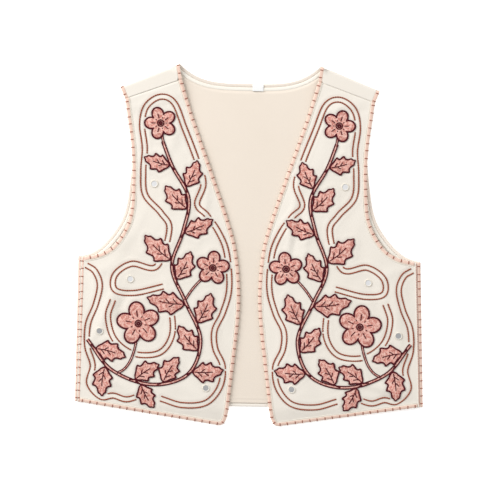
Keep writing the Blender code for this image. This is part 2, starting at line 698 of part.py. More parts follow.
def build_front(title, side, folds):
    edges = front_edges()
    surface = front_surface(folds, edges)
    near = {"edge": 0.0, "side": GAP / 2, "armhole": 0.0, "seam": GAP / 2}
    far = {"edge": FRONT_BAND, "side": GAP / 2 + SIDE_BAND, "armhole": FRONT_BAND, "seam": GAP / 2}
    panel = {name: far[name] + (0.0 if name == "seam" else GAP) for name in far}
    half = FRONT_WALL / 2
    loop = loop_of(edges, panel)
    shape = filled(loop, lattice(loop, FRONT_LATTICE, 7.0 * MM))
    add_wall(f"front_{title}", *shape, surface, -half, half, "cream_cloth", side)
    for name in ("edge", "side", "armhole"):
        ends = {other: 0.0 for other in near} if name == "side" else panel
        shape = band(edges, name, near[name], far[name], ends)
        add_wall(f"front_{name}_band_{title}", *shape, surface, -half, FRONT_BAND_WALL - half,
                 "pink_tape", side)
    stem = curve_through(in_metres(STEM), 6.0 * MM)
    low = half + LEAF_GAP
    shapes = [("leaf", number, leaf_shape(leaf, stem)) for number, leaf in enumerate(LEAVES, 1)]
    shapes += [("blossom", number, blossom_shape(one)) for number, one in enumerate(BLOSSOMS, 1)]
    for kind, number, shape in shapes:
        add_wall(f"{kind}_{title}_{number}", *shape, surface, low, low + LEAF_WALL, "pink_applique", side)


clear_scene()
build_back()
build_front("left", 1, LEFT_FOLDS)
build_front("right", -1, RIGHT_FOLDS)
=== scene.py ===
import math
import re

import bpy
import numpy as np
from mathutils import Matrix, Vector


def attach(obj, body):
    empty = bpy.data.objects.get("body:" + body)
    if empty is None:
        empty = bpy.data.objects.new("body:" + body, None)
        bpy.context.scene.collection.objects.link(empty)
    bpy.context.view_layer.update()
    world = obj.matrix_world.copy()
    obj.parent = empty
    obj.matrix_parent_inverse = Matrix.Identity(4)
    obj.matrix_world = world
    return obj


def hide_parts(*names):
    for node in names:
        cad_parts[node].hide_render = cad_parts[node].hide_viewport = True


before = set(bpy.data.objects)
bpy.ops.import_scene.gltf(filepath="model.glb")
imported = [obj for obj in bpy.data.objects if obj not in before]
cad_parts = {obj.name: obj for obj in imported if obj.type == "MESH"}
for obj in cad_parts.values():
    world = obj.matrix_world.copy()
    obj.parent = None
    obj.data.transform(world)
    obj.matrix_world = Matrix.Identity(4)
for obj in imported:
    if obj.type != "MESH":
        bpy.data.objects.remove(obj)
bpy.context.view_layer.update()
random = np.random.default_rng(7)

# Every length here is in millimetres until a mesh is made.
# Flat shapes are half patterns: x is out from the centre line and y is up the garment.
cut = {
    "neckPoint": (102.0, 261.0), "shoulderTip": (186.5, 226.5), "backNeckUp": 233.7, "neckPower": 3.7,
    "underarmUp": -22.0, "chestHalf": 248.0, "hemHalf": 252.0, "hemSideUp": -230.3, "backHemDip": 4.0,
    "frontHemDip": 31.5, "cornerRadius": 17.0, "seamNeck": (5.45, 22.6), "seamArm": (92.7, 18.9),
    "sideInset": (5.0, 3.6), "skew": 0.0125, "step": 2.0,
    "frontArmhole": [(177.3, 184.2), (171.1, 136.3), (169.8, 88.5), (174.0, 37.7), (191.4, 2.2),
                     (213.0, -14.5)],
    "backArmhole": [(176.0, 190.0), (170.5, 136.3), (174.3, 82.7), (183.0, 39.2), (204.0, 5.8),
                    (226.9, -13.8)],
    "frontEdge": [(81.6, 183.4), (50.4, 94.0), (30.7, 36.3), (19.6, -3.5), (13.9, -52.0), (14.6, -110.0),
                  (27.6, -224.8)],
}
cloth = {
    "back": 1.8, "front": 2.0, "lining": 0.8, "tape": 1.1, "leaf": 0.9, "label": 0.8, "gap": 0.3,
    "frontBand": 6.0, "backBand": 5.0, "sideBand": 4.0, "tapeWidth": 5.0, "shoulderRoll": 3.2, "sideRoll": 2.2,
}
# How the fronts lie: the height of the middle of the wall, how far in from each edge it settles, how far from
# the side and the shoulder seam the folds die out, and how much a fold wanders, as a share of its width
lie = {
    "crest": 6.6, "side": (5.3, 55.0), "edge": (4.9, 45.0), "hem": (4.9, 45.0), "seamReach": 55.0,
    "cornerDrop": 2.9, "cornerReach": 26.0, "calmSide": 22.0, "calmSeam": 30.0, "wander": 0.33,
}


def unit(v):
    # v over its length
    return v / np.linalg.norm(v)


def rotated(v):
    # a quarter turn to the left: (-y, x)
    return np.stack([-v[..., 1], v[..., 0]], axis=-1)


def heading(angle):
    # the unit vector (cos a, sin a), for one angle or an array of them
    return np.stack([np.cos(angle), np.sin(angle)], axis=-1)


def fullTurn(count):
    # even angles once round, the end left off
    return np.linspace(0.0, 2.0 * math.pi, count, endpoint=False)


def readAt(at, along, line):
    # a line's points where its running length is at, by linear steps
    return np.stack([np.interp(at, along, line[:, k]) for k in range(line.shape[1])], axis=-1)


def smooth(t):
    # 3t² - 2t³ between 0 and 1
    t = np.clip(t, 0.0, 1.0)
    return t * t * (3.0 - 2.0 * t)


def distances(line):
    # running length of a line of points, from 0
    return np.concatenate([[0.0], np.cumsum(np.linalg.norm(np.diff(line, axis=0), axis=1))])


def spaced(line, step):
    # the line again with even steps
    along = distances(line)
    return readAt(np.linspace(0.0, along[-1], max(2, round(along[-1] / step) + 1)), along, line)


def spacedLoop(line, step):
    # a closed line with even steps, its first point not repeated
    return spaced(np.vstack([line, line[:1]]), step)[:-1]


def curveThrough(points, step):
    # Catmull-Rom: half of 2b + (c-a)t + (2a-5b+4c-d)t² + (3b-a-3c+d)t³ between b and c
    points = np.asarray(points, float)
    control = np.vstack([2.0 * points[0] - points[1], points, 2.0 * points[-1] - points[-2]])
    t = np.linspace(0.0, 1.0, 24, endpoint=False)[None, :, None]
    a, b, c, d = (control[k:len(control) - 3 + k, None] for k in range(4))
    run = 0.5 * (2 * b + (c - a) * t + (2 * a - 5 * b + 4 * c - d) * t**2 + (3 * b - a - 3 * c + d) * t**3)
    return spaced(np.vstack([run.reshape(-1, 2), points[-1:]]), step)


def bezier(points, count):
    # a quadratic curve: (1-t)²a + 2t(1-t)b + t²c
    a, b, c = (np.asarray(p, float) for p in points)
    t = np.linspace(0.0, 1.0, count)[:, None]
    return (1 - t) ** 2 * a + 2 * t * (1 - t) * b + t**2 * c


def leftOf(line):
    # unit vectors to the left of a line
    run = np.gradient(line, axis=0)
    return rotated(run / (np.linalg.norm(run, axis=1)[:, None] + 1e-9))


def movedLeft(line, width):
    # each point moved to the left by width, with mitred bends: p + w(n1+n2)/(1+n1·n2)
    run = np.diff(line, axis=0)
    left = rotated(run / np.linalg.norm(run, axis=1)[:, None])
    before, after = np.vstack([left[:1], left]), np.vstack([left, left[-1:]])
    return line + (before + after) * width / (1.0 + np.sum(before * after, axis=1))[:, None]


def pointAt(line, distance):
    # a point at a distance along a line, or just beyond its ends
    along = distances(line)
    i = int(np.clip(np.searchsorted(along, distance) - 1, 0, len(line) - 2))
    return line[i] + (line[i + 1] - line[i]) * (distance - along[i]) / (along[i + 1] - along[i])


def cross2(a, b):
    # ax·by - ay·bx
    return a[..., 0] * b[..., 1] - a[..., 1] * b[..., 0]


def crossing(first, second):
    # distances along two lines to where the first, run on at its end, meets the start of the second
    a, b = first[:-1, None], np.diff(first, axis=0)[:, None]
    c, d = second[None, :-1], np.diff(second, axis=0)[None]
    turn = cross2(b, d)
    turn = np.where(np.abs(turn) < 1e-9, 1e-9, turn)
    s, t = cross2(c - a, d) / turn, cross2(c - a, b) / turn
    i, j = np.indices(s.shape)
    met = (s >= 0) & ((s <= 1) | (i == s.shape[0] - 1)) & (t <= 1) & ((t >= 0) | (j == 0))
    score = np.where(met & (np.abs(s) + np.abs(t) < 60.0), (i + s) - (j + t), -1e9)
    row, column = np.unravel_index(np.argmax(score), score.shape)
    return (distances(first)[row] + s[row, column] * np.linalg.norm(b[row, 0]),
            distances(second)[column] + t[row, column] * np.linalg.norm(d[0, column]))


def inset(edges, widths):
    # each edge moved inwards, with the distances at which its neighbours cut it
    names = list(edges)
    lines = {name: movedLeft(edges[name], widths[name]) for name in names}
    start, stop = {}, {}
    for name, following in zip(names, names[1:] + names[:1]):
        stop[name], start[following] = crossing(lines[name], lines[following])
    return {name: (lines[name], start[name], stop[name]) for name in names}


def partOf(line, start, stop):
    # a line from one distance along it to another, without points within 0.3 of the new ends
    along = distances(line)
    keep = (along > start + 0.3) & (along < stop - 0.3)
    return np.vstack([pointAt(line, start), line[keep], pointAt(line, stop)])


def insideOf(points, loop):
    # which points lie inside a closed outline, by counting crossings to the right
    low, high = loop, np.roll(loop, -1, axis=0)
    x, y = points[:, 0, None], points[:, 1, None]
    spans = (low[:, 1] > y) != (high[:, 1] > y)
    rise = np.where(high[:, 1] == low[:, 1], 1.0, high[:, 1] - low[:, 1])
    crossed = low[:, 0] + (y - low[:, 1]) * (high[:, 0] - low[:, 0]) / rise
    return np.sum(spans & (x < crossed), axis=1) % 2 == 1


def nearest(points, others):
    # distance from each point to the nearest of the others, a block at a time
    blocks = [np.sqrt(((block[:, None] - others[None]) ** 2).sum(axis=2).min(axis=1))
              for block in np.array_split(points, max(1, len(points) * len(others) // 4000000))]
    return np.concatenate(blocks)


# The lines where the back turns up and over
neckPoint, shoulderTip = np.array(cut["neckPoint"]), np.array(cut["shoulderTip"])
shoulderAlong = unit(shoulderTip - neckPoint)
shoulderOut = rotated(shoulderAlong)
shoulderReach = cloth["shoulderRoll"] + cloth["back"] / 2
shoulderStart = neckPoint - shoulderOut * shoulderReach
sideBottom = np.array([cut["hemHalf"], cut["hemSideUp"]])
sideTop = np.array([cut["chestHalf"], cut["underarmUp"]])
sideAlong = unit(sideTop - sideBottom)
sideOut = -rotated(sideAlong)
sideReach = cloth["sideRoll"] + cloth["back"] / 2
sideStart = sideBottom - sideOut * sideReach
sideLength = float(np.linalg.norm(sideTop - sideBottom))


def sideSeam(along, laidDown):
    # a point of the side seam, its inset even between hem and underarm, in the lay or in the back's flat cut
    top, bottom = cut["sideInset"]
    beyond = bottom + (top - bottom) * along / sideLength - sideReach
    away = -beyond if laidDown else math.pi * cloth["sideRoll"] + beyond
    return sideStart + sideAlong * along + sideOut * away


def shoulderSeam(end, laidDown):
    # a shoulder seam's end, given along and in front of the fold, in the lay or in the back's flat cut
    beyond = end[1] - shoulderReach
    away = -beyond if laidDown else math.pi * cloth["shoulderRoll"] + beyond
    return shoulderStart + shoulderAlong * end[0] + shoulderOut * away


def backEdges():
    # the whole flat cut of the back, edge by edge, counter-clockwise from the hem
    step = cut["step"]
    corner, underarm = sideSeam(0.0, False), sideSeam(sideLength, False)
    x = np.linspace(0.0, corner[0], 120)
    hem = np.stack([x, backHemUp(x)], axis=1)
    tip = shoulderStart + shoulderAlong * cut["seamArm"][0]
    armhole = curveThrough(np.vstack([tip, cut["backArmhole"], underarm]), step)[::-1]
    seam = spaced(np.array([shoulderSeam(cut["seamArm"], False), shoulderSeam(cut["seamNeck"], False)]), step)
    overArm = spaced(np.array([tip, seam[0]]), step)
    x = np.linspace(neckPoint[0] - 4.0, 0.0, 60)
    rise = neckPoint[1] - cut["backNeckUp"]
    neck = np.stack([x, cut["backNeckUp"] + rise * (x / neckPoint[0]) ** cut["neckPower"]], axis=1)
    middle = shoulderStart + shoulderOut * math.pi * cloth["shoulderRoll"] / 2
    neck = spaced(np.vstack([curveThrough([seam[-1], middle, neck[0]], step), neck[1:]]), step)
    half = {"hem": spaced(hem, step), "side": spaced(np.array([corner, underarm]), step),
            "armhole": np.vstack([armhole, overArm[1:]]), "seam": seam, "neck": neck}

    def flipped(line):
        # the mirror image, run the other way
        return line[::-1] * np.array([-1.0, 1.0])

    return {"hem": np.vstack([flipped(half["hem"])[:-1], half["hem"]]), "sideLeft": half["side"],
            "armholeLeft": half["armhole"], "seamLeft": half["seam"],
            "neck": np.vstack([half["neck"], flipped(half["neck"])[1:]]), "seamRight": flipped(half["seam"]),
            "armholeRight": flipped(half["armhole"]), "sideRight": flipped(half["side"])}


def frontEdges():
    # a front's cut as it lies, edge by edge, from the shoulder seam down the front edge and round
    step = cut["step"]
    neckEnd, armEnd = shoulderSeam(cut["seamNeck"], True), shoulderSeam(cut["seamArm"], True)
    edge = curveThrough(np.vstack([neckEnd, cut["frontEdge"]]), step)
    down, corner = unit(edge[-1] - edge[-2]), sideSeam(0.0, True)
    low = np.array([edge[-1][0] + cut["cornerRadius"], cut["hemSideUp"] - cut["frontHemDip"]])
    first = edge[-1] + down * 1.5 * cut["cornerRadius"]
    second = low - unit(corner - low) * 0.7 * cut["cornerRadius"]
    t = np.linspace(0.0, 1.0, 40)[1:, None]
    turn = (1 - t) ** 3 * edge[-1] + 3 * (1 - t) ** 2 * t * first + 3 * (1 - t) * t**2 * second + t**3 * low
    edge = spaced(np.vstack([edge, turn, corner]), step)
    side = spaced(np.array([corner, sideSeam(sideLength, True)]), step)
    armhole = curveThrough(np.vstack([armEnd, cut["frontArmhole"], side[-1]]), step)[::-1]
    return {"edge": edge, "side": side, "armhole": armhole, "seam": spaced(np.array([armEnd, neckEnd]), step)}


def backHemUp(x):
    # the hem's height at x: side - dip·(1 - (x/half)²)
    return cut["hemSideUp"] - cut["backHemDip"] * (1.0 - np.clip(np.abs(x) / cut["hemHalf"], 0.0, 1.0) ** 2)


def rolled(points, start, out, radius):
    # beyond the line: a half circle r sin a, r(1 - cos a), then flat and back over
    beyond = (points - start) @ out
    angle = np.clip(beyond / radius, 0.0, math.pi)
    run = np.where(beyond > 0.0, radius * np.sin(angle) - np.maximum(beyond - math.pi * radius, 0.0), beyond)
    return (run - beyond)[:, None] * out, radius * (1.0 - np.cos(angle))


def backSurface(points):
    # the middle of the back's wall: flat on the floor, then up and over at the shoulders and the sides
    half = np.stack([np.abs(points[:, 0]), points[:, 1]], axis=1)
    shiftA, heightA = rolled(half, shoulderStart, shoulderOut, cloth["shoulderRoll"])
    shiftB, heightB = rolled(half, sideStart, sideOut, cloth["sideRoll"])
    rolledOver = half + shiftA + shiftB
    across = rolledOver[:, 0] * np.sign(points[:, 0] + 1e-9)
    return np.stack([across, rolledOver[:, 1], cloth["back"] / 2 + heightA + heightB], axis=1)


# Soft folds of each front: middle x and y, turn in degrees, length, width and height
folds = {
    "right": [(206, -95, 70, 150, 15, 0.95), (232, -120, 80, 140, 12, -0.8), (160, 60, 92, 120, 14, -0.7),
              (140, 196, 158, 70, 12, -0.6), (70, 90, 106, 150, 14, 0.7), (150, -214, 172, 170, 10, 0.6),
              (182, -60, 118, 110, 9, 0.5), (226, -60, 60, 90, 9, 0.55), (118, 214, 160, 80, 7, 0.4)],
    "left": [(196, -80, 112, 130, 14, 0.95), (222, -140, 104, 150, 12, -0.8), (152, 90, 84, 130, 15, -0.7),
             (128, 200, 20, 60, 11, 0.5), (62, 60, 72, 130, 13, 0.7), (185, -212, 8, 130, 10, 0.6),
             (214, -46, 128, 100, 9, 0.55), (168, -30, 100, 100, 9, -0.45), (120, 216, 158, 80, 7, 0.4)],
}
# Narrower creases of the same form, pressed in by storage
creases = {
    "right": [(211, -103, 110, 132, 7, 1.2), (188, -98, 119, 70, 8, -1.1), (236, -112, 90, 80, 5, 0.65),
              (193, -203, 21, 84, 6, 0.9), (202, -215, 18, 70, 5, -0.7), (150, 214, 170, 54, 6, -0.8),
              (140, 205, 165, 62, 6, 0.7), (76, 40, 100, 64, 5, -0.8), (66, 44, 98, 66, 5, 0.8),
              (112, 160, 105, 66, 9, 0.8), (206, -34, 150, 54, 8, 0.8), (120, -160, 60, 74, 9, 0.8),
              (96, -190, 40, 64, 8, -0.8), (132, 96, 70, 60, 8, -0.7), (168, 20, 120, 70, 8, 0.65),
              (44, -96, 84, 80, 6, -0.65), (150, -30, 40, 60, 7, -0.65)],
    "left": [(192, -90, 106, 100, 8, -1.1), (214, -100, 102, 110, 7, 1.05), (232, -150, 84, 70, 5, 0.65),
             (60, 30, 80, 92, 5, 0.9), (70, 24, 80, 92, 5, -0.9), (82, 10, 85, 72, 5, 0.7),
             (108, 4, 95, 54, 6, -0.7), (122, 0, 95, 54, 6, 0.7), (150, 208, 20, 64, 6, 0.8),
             (158, 198, 20, 64, 6, -0.8), (190, -205, 165, 74, 6, 0.9), (200, -216, 165, 62, 5, -0.65),
             (70, -170, 120, 74, 8, 0.8), (92, -180, 120, 74, 8, -0.8), (138, 140, 75, 70, 9, 0.7),
             (176, 60, 110, 60, 8, -0.65), (206, -40, 30, 54, 8, 0.8)],
}
frontCut = frontEdges()
backCut = backEdges()


def frontSurface(sideName):
    # crest - (sum of each edge's drop⁴)^¼, plus a rise to the shoulder seam, plus folds h·exp(-v² - u⁴)
    line = frontCut["edge"]
    lowest = int(np.argmin(line[:, 1]))
    seamStart = frontCut["seam"][-1]
    seamIn = -rotated(unit(frontCut["seam"][0] - seamStart))

    def surface(points):
        # the formula above at flat points (x, y)
        x, y = points[:, 0], points[:, 1]
        away = {"side": sideReach - cut["sideInset"][0] - (points - sideStart) @ sideOut,
                "edge": x - np.interp(y, line[:lowest + 1, 1][::-1], line[:lowest + 1, 0][::-1]),
                "hem": y - np.interp(x, line[lowest:, 0], line[lowest:, 1])}
        fromSeam = smooth((points - seamStart) @ seamIn / lie["seamReach"])
        drops = [(lie["crest"] - lie[name][0]) * (1.0 - smooth(away[name] / lie[name][1])) for name in away]
        drop = np.sum(np.array(drops) ** 4, axis=0) ** 0.25 * fromSeam
        seamLevel = cloth["back"] / 2 + 2.0 * cloth["shoulderRoll"]
        height = lie["crest"] - drop + (seamLevel - lie["crest"]) * (1.0 - fromSeam)
        height = height - lie["cornerDrop"] * smooth((backHemUp(x) - y) / lie["cornerReach"])
        calm = smooth(away["side"] / lie["calmSide"]) * smooth((points - seamStart) @ seamIn / lie["calmSeam"])
        for foldX, foldY, turn, length, width, rise in folds[sideName] + creases[sideName]:
            along = heading(math.radians(turn))
            fromMiddle = points - np.array([foldX, foldY])
            u = fromMiddle @ along / (length / 2)
            v = (fromMiddle @ rotated(along) + width * lie["wander"] * np.sin(2.2 * u + foldX)) / width
            height = height + rise * np.exp(-v**2 - u**4) * calm
        return np.stack([x, y, height], axis=1)

    return surface


surfaces = {"left": frontSurface("left"), "right": frontSurface("right"), "back": backSurface}
mirror = {"left": 1.0, "right": -1.0, "back": 1.0}


def laid(place, points, lift):
    # points on a surface, moved along its normals by lift, with the normals; any shape of array
    flat = points.reshape(-1, 2)
    surface = surfaces[place]
    here = surface(flat)
    step = 0.02
    aside, ahead = (surface(flat + np.array(move)) - here for move in ([step, 0.0], [0.0, step]))
    normal = np.cross(aside, ahead)
    normal /= np.linalg.norm(normal, axis=1)[:, None]
    found = here + normal * np.broadcast_to(lift, points.shape[:-1]).reshape(-1, 1)
    found[:, 0] *= mirror[place]
    normal[:, 0] *= mirror[place]
    found[:, 1] -= cut["skew"] * found[:, 0]
    return found.reshape(*points.shape[:-1], 3), normal.reshape(*points.shape[:-1], 3)


def gridQuads(rows, columns, closedRows=False, closedColumns=False, first=0):
    # four corners of each cell of a grid of points, counter-clockwise
    r = np.arange(rows if closedRows else rows - 1)[:, None]
    c = np.arange(columns if closedColumns else columns - 1)[None]
    here, below, right = r * columns, (r + 1) % rows * columns, (c + 1) % columns
    cells = np.stack([here + c, here + right, below + right, below + c], axis=-1)
    return cells.reshape(-1, 4) + first


def ringCaps(rows, columns):
    # faces across the first and last ring of a grid with closed columns, turned as gridQuads turns its own
    k = np.arange(columns // 2 - 1)
    cap = np.stack([k, columns - 1 - k, columns - 2 - k, k + 1], axis=1)
    return np.vstack([cap, cap[:, ::-1] + (rows - 1) * columns])


def shellQuads(rows, columns):
    # a grid, the same grid below it turned over, and the rim between them
    index = np.arange(rows * columns).reshape(rows, columns)
    rim = np.concatenate([index[0, :-1], index[:-1, -1], index[-1, :0:-1], index[:0:-1, 0]])
    ahead = np.roll(rim, -1)
    below = rows * columns
    top = gridQuads(rows, columns)
    return np.vstack([top, top[:, ::-1] + below, np.stack([ahead, rim, rim + below, ahead + below], axis=1)])


def makePiece(name, points, quads, uv, look):
    # one closed mesh from arrays, right side out by the sign of its volume; points in mm, uv in metres
    centred = points - points.mean(axis=0)
    a, b, c, d = (centred[quads[:, k]] for k in range(4))
    if float((np.cross(b - a, c - a) * a).sum() + (np.cross(c - a, d - a) * a).sum()) < 0.0:
        quads = quads[:, ::-1]
    mesh = bpy.data.meshes.new(name)
    mesh.vertices.add(len(points))
    mesh.vertices.foreach_set("co", (points * 0.001).astype(np.float32).ravel())
    mesh.loops.add(quads.size)
    mesh.loops.foreach_set("vertex_index", quads.astype(np.int32).ravel())
    mesh.polygons.add(len(quads))
    mesh.polygons.foreach_set("loop_start", np.arange(0, quads.size, 4, dtype=np.int32))
    mesh.polygons.foreach_set("use_smooth", np.ones(len(quads), dtype=bool))
    layer = mesh.uv_layers.new(name="flat")
    layer.data.foreach_set("uv", uv[quads.ravel()].astype(np.float32).ravel())
    mesh.update()
    mesh.validate()
    obj = bpy.data.objects.new(name, mesh)
    mesh.materials.append(look)
    bpy.context.scene.collection.objects.link(obj)
    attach(obj, "root")
    return obj


def joined(parts):
    # several (points, quads, uv) sets as one
    points, quads, uv = zip(*parts)
    firsts = np.cumsum([0] + [len(p) for p in points[:-1]])
    return np.vstack(points), np.vstack([q + first for q, first in zip(quads, firsts)]), np.vstack(uv)


def tube(centres, normals, wide, high, sides=8, closed=False):
    # rings c + n·high·cos a + (t × n)·wide·sin a along a path; wide and high are half sizes
    # and open ends close over as sqrt(1 - (1 - d/wide)²)
    if closed:
        run = np.roll(centres, -1, axis=0) - np.roll(centres, 1, axis=0)
    else:
        run = np.gradient(centres, axis=0)
    run /= np.linalg.norm(run, axis=1)[:, None] + 1e-9
    across = np.cross(run, normals)
    across /= np.linalg.norm(across, axis=1)[:, None] + 1e-9
    up = np.cross(across, run)
    angle = np.arange(sides) * 2.0 * math.pi / sides
    along = distances(centres)
    size = np.ones(len(centres))
    if not closed:
        fromEnd = np.minimum(along, along[-1] - along) / float(np.mean(wide))
        size = np.maximum(np.sqrt(1.0 - (1.0 - np.clip(fromEnd, 0.0, 1.0)) ** 2), 0.04)
    wide, high = (np.broadcast_to(reach * size, len(centres))[:, None, None] for reach in (wide, high))
    rings = centres[:, None] + up[:, None] * high * np.cos(angle)[None, :, None] \
        + across[:, None] * wide * np.sin(angle)[None, :, None]
    uv = np.stack([np.repeat(along[:, None], sides, axis=1) * 0.001,
                   np.broadcast_to(angle / (2.0 * math.pi) * 0.006, (len(centres), sides))], axis=-1)
    quads = gridQuads(len(centres), sides, closedRows=closed, closedColumns=True)
    if not closed:
        quads = np.vstack([quads, ringCaps(len(centres), sides)])
    return rings.reshape(-1, 3), quads[:, ::-1], uv.reshape(-1, 2)


# Materials: small helpers for shader nodes, the patterns that several looks share, and then the looks
def feed(node, feeds):
    # each named input of a node gets a link or a value
    for key, value in feeds.items():
        if isinstance(value, bpy.types.NodeSocket):
            node.id_data.links.new(value, node.inputs[key])
        else:
            node.inputs[key].default_value = value


def put(tree, kind, feeds=None, **settings):
    # a new node with its settings and its inputs
    node = tree.nodes.new(kind)
    for key, value in settings.items():
        setattr(node, key, value)
    feed(node, feeds or {})
    return node


def calc(tree, operation, *values):
    # one step of arithmetic
    return put(tree, "ShaderNodeMath", dict(enumerate(values)), operation=operation).outputs[0]


def times(tree, a, b):
    # a·b
    return calc(tree, "MULTIPLY", a, b)


def blend(tree, factor, a, b):
    # a·(1 - factor) + b·factor, each colour a link or its red, green and blue
    a, b = ((*colour, 1.0) if isinstance(colour, tuple) else colour for colour in (a, b))
    return put(tree, "ShaderNodeMix", {0: factor, 6: a, 7: b}, data_type="RGBA", blend_type="MIX").outputs[2]


def darker(colour, share):
    # a share of each channel
    return tuple(share * channel for channel in colour)


def spread(tree, value, low, high, toLow=0.0, toHigh=1.0):
    # 3t² - 2t³ for t from 0 at low to 1 at high, then from toLow to toHigh
    feeds = {0: value, 1: low, 2: high, 3: toLow, 4: toHigh}
    return put(tree, "ShaderNodeMapRange", feeds, interpolation_type="SMOOTHSTEP").outputs[0]


def noise(tree, vector, scale, detail=2.0, rough=0.5):
    # fractal noise round ½
    feeds = {"Vector": vector, "Scale": scale, "Detail": detail, "Roughness": rough}
    return put(tree, "ShaderNodeTexNoise", feeds).outputs[0]


def offHalf(tree, value):
    # value - ½
    return calc(tree, "SUBTRACT", value, 0.5)


def stretched(tree, vector, factors):
    # each coordinate times its own factor
    return put(tree, "ShaderNodeVectorMath", {0: vector, 1: factors}, operation="MULTIPLY").outputs[0]


def makeGroup(name, inputs, outputs):
    # a node group that takes a place and named numbers, and gives named numbers
    group = bpy.data.node_groups.new(name, "ShaderNodeTree")
    group.interface.new_socket(name="Vector", in_out="INPUT", socket_type="NodeSocketVector")
    for title, value in inputs.items():
        socket = group.interface.new_socket(name=title, in_out="INPUT", socket_type="NodeSocketFloat")
        socket.default_value = value
    for title in outputs:
        group.interface.new_socket(name=title, in_out="OUTPUT", socket_type="NodeSocketFloat")
    return group, group.nodes.new("NodeGroupInput").outputs, group.nodes.new("NodeGroupOutput")


def weaveGroup():
    # plain weave: |sin x| over |sin y| where sin x · sin y is above 0, and streaks along single threads
    tree, given, result = makeGroup("weave", {"Threads": 1400.0, "Uneven": 0.35}, ["Height", "Streaks"])
    wander = times(tree, offHalf(tree, noise(tree, given["Vector"], 90.0)), 0.0012)
    axis = put(tree, "ShaderNodeSeparateXYZ", {0: given["Vector"]}).outputs
    counts = [times(tree, calc(tree, "ADD", axis[k], wander), given["Threads"]) for k in (0, 1)]
    waves = [calc(tree, "SINE", times(tree, count, math.pi)) for count in counts]
    over = calc(tree, "GREATER_THAN", times(tree, waves[0], waves[1]), 0.0)
    warp, weft = (calc(tree, "ABSOLUTE", wave) for wave in waves)
    height = calc(tree, "ADD", warp, times(tree, calc(tree, "SUBTRACT", weft, warp), over))
    streaks = [noise(tree, stretched(tree, given["Vector"], stretch), 1.0, 1.0)
               for stretch in ((900.0, 14.0, 1.0), (14.0, 900.0, 1.0))]
    both = times(tree, calc(tree, "ADD", *streaks), 0.5)
    uneven = times(tree, offHalf(tree, both), given["Uneven"])
    feed(result, {"Height": calc(tree, "ADD", height, uneven), "Streaks": both})
    return tree


def twistGroup():
    # plies of a thread: ½ + ½ sin 2π(along/pitch + around), and |along/stitch mod 1 - ½| for stitches' ends
    tree, given, result = makeGroup("threadTwist", {"Pitch": 0.0012, "Stitch": 0.0034},
                                    ["Height", "Ends", "Fibre"])
    axis = put(tree, "ShaderNodeSeparateXYZ", {0: given["Vector"]}).outputs
    turn = calc(tree, "ADD", calc(tree, "DIVIDE", axis[0], given["Pitch"]), times(tree, axis[1], 333.0))
    wave = calc(tree, "SINE", times(tree, turn, 2.0 * math.pi))
    inStitch = calc(tree, "FRACT", calc(tree, "DIVIDE", axis[0], given["Stitch"]))
    feed(result, {"Height": calc(tree, "MULTIPLY_ADD", wave, 0.5, 0.5),
                  "Ends": spread(tree, calc(tree, "ABSOLUTE", offHalf(tree, inStitch)), 0.30, 0.5),
                  "Fibre": noise(tree, given["Vector"], 700.0, 2.0)})
    return tree


def mottleGroup():
    # clouds of tone, pale flecks, fine grain, and veins where a noise crosses ½, as of marbled cloth
    tree, given, result = makeGroup("mottle", {"Scale": 120.0}, ["Clouds", "Flecks", "Grain", "Veins"])
    bent = stretched(tree, given["Vector"], (1.3, 1.0, 1.0))
    clouds = noise(tree, given["Vector"], given["Scale"], 4.0, 0.62)
    flecks = noise(tree, bent, times(tree, given["Scale"], 3.1), 3.0, 0.6)
    veins = noise(tree, bent, times(tree, given["Scale"], 1.7), 3.0, 0.6)
    fromLine = calc(tree, "ABSOLUTE", offHalf(tree, veins))
    feed(result, {"Clouds": spread(tree, clouds, 0.36, 0.64), "Flecks": spread(tree, flecks, 0.50, 0.62),
                  "Grain": noise(tree, given["Vector"], times(tree, given["Scale"], 14.0), 2.0),
                  "Veins": spread(tree, fromLine, 0.005, 0.055, 1.0, 0.0)})
    return tree


def toneGroup():
    # very soft patches of tone, a hand or two across
    tree, given, result = makeGroup("softTone", {"Scale": 9.0}, ["Tone"])
    feed(result, {"Tone": spread(tree, noise(tree, given["Vector"], given["Scale"], 3.0, 0.55), 0.3, 0.7)})
    return tree


groups = {"weave": weaveGroup(), "twist": twistGroup(), "mottle": mottleGroup(), "tone": toneGroup()}


def useGroup(tree, name, feeds):
    # one of the shared patterns, with a look's own values
    return put(tree, "ShaderNodeGroup", feeds, node_tree=groups[name]).outputs


def startLook(name, rough, sheen=0.0, sheenTint=(1.0, 1.0, 1.0), metallic=0.0, specular=0.3):
    # a material with its shader's fixed values, and its UV map
    made = bpy.data.materials.new(name)
    made.use_nodes = True
    tree = made.node_tree
    shader = tree.nodes["Principled BSDF"]
    feed(shader, {"Roughness": rough, "Metallic": metallic, "Specular IOR Level": specular,
                  "Sheen Weight": sheen, "Sheen Roughness": 0.5, "Sheen Tint": (*sheenTint, 1.0)})
    return made, tree, shader, put(tree, "ShaderNodeUVMap", uv_map="flat").outputs[0]


def bump(tree, shader, height, strength, distance):
    # a relief that turns the shader's normal
    feeds = {"Strength": strength, "Distance": distance, "Height": height}
    feed(shader, {"Normal": put(tree, "ShaderNodeBump", feeds).outputs[0]})


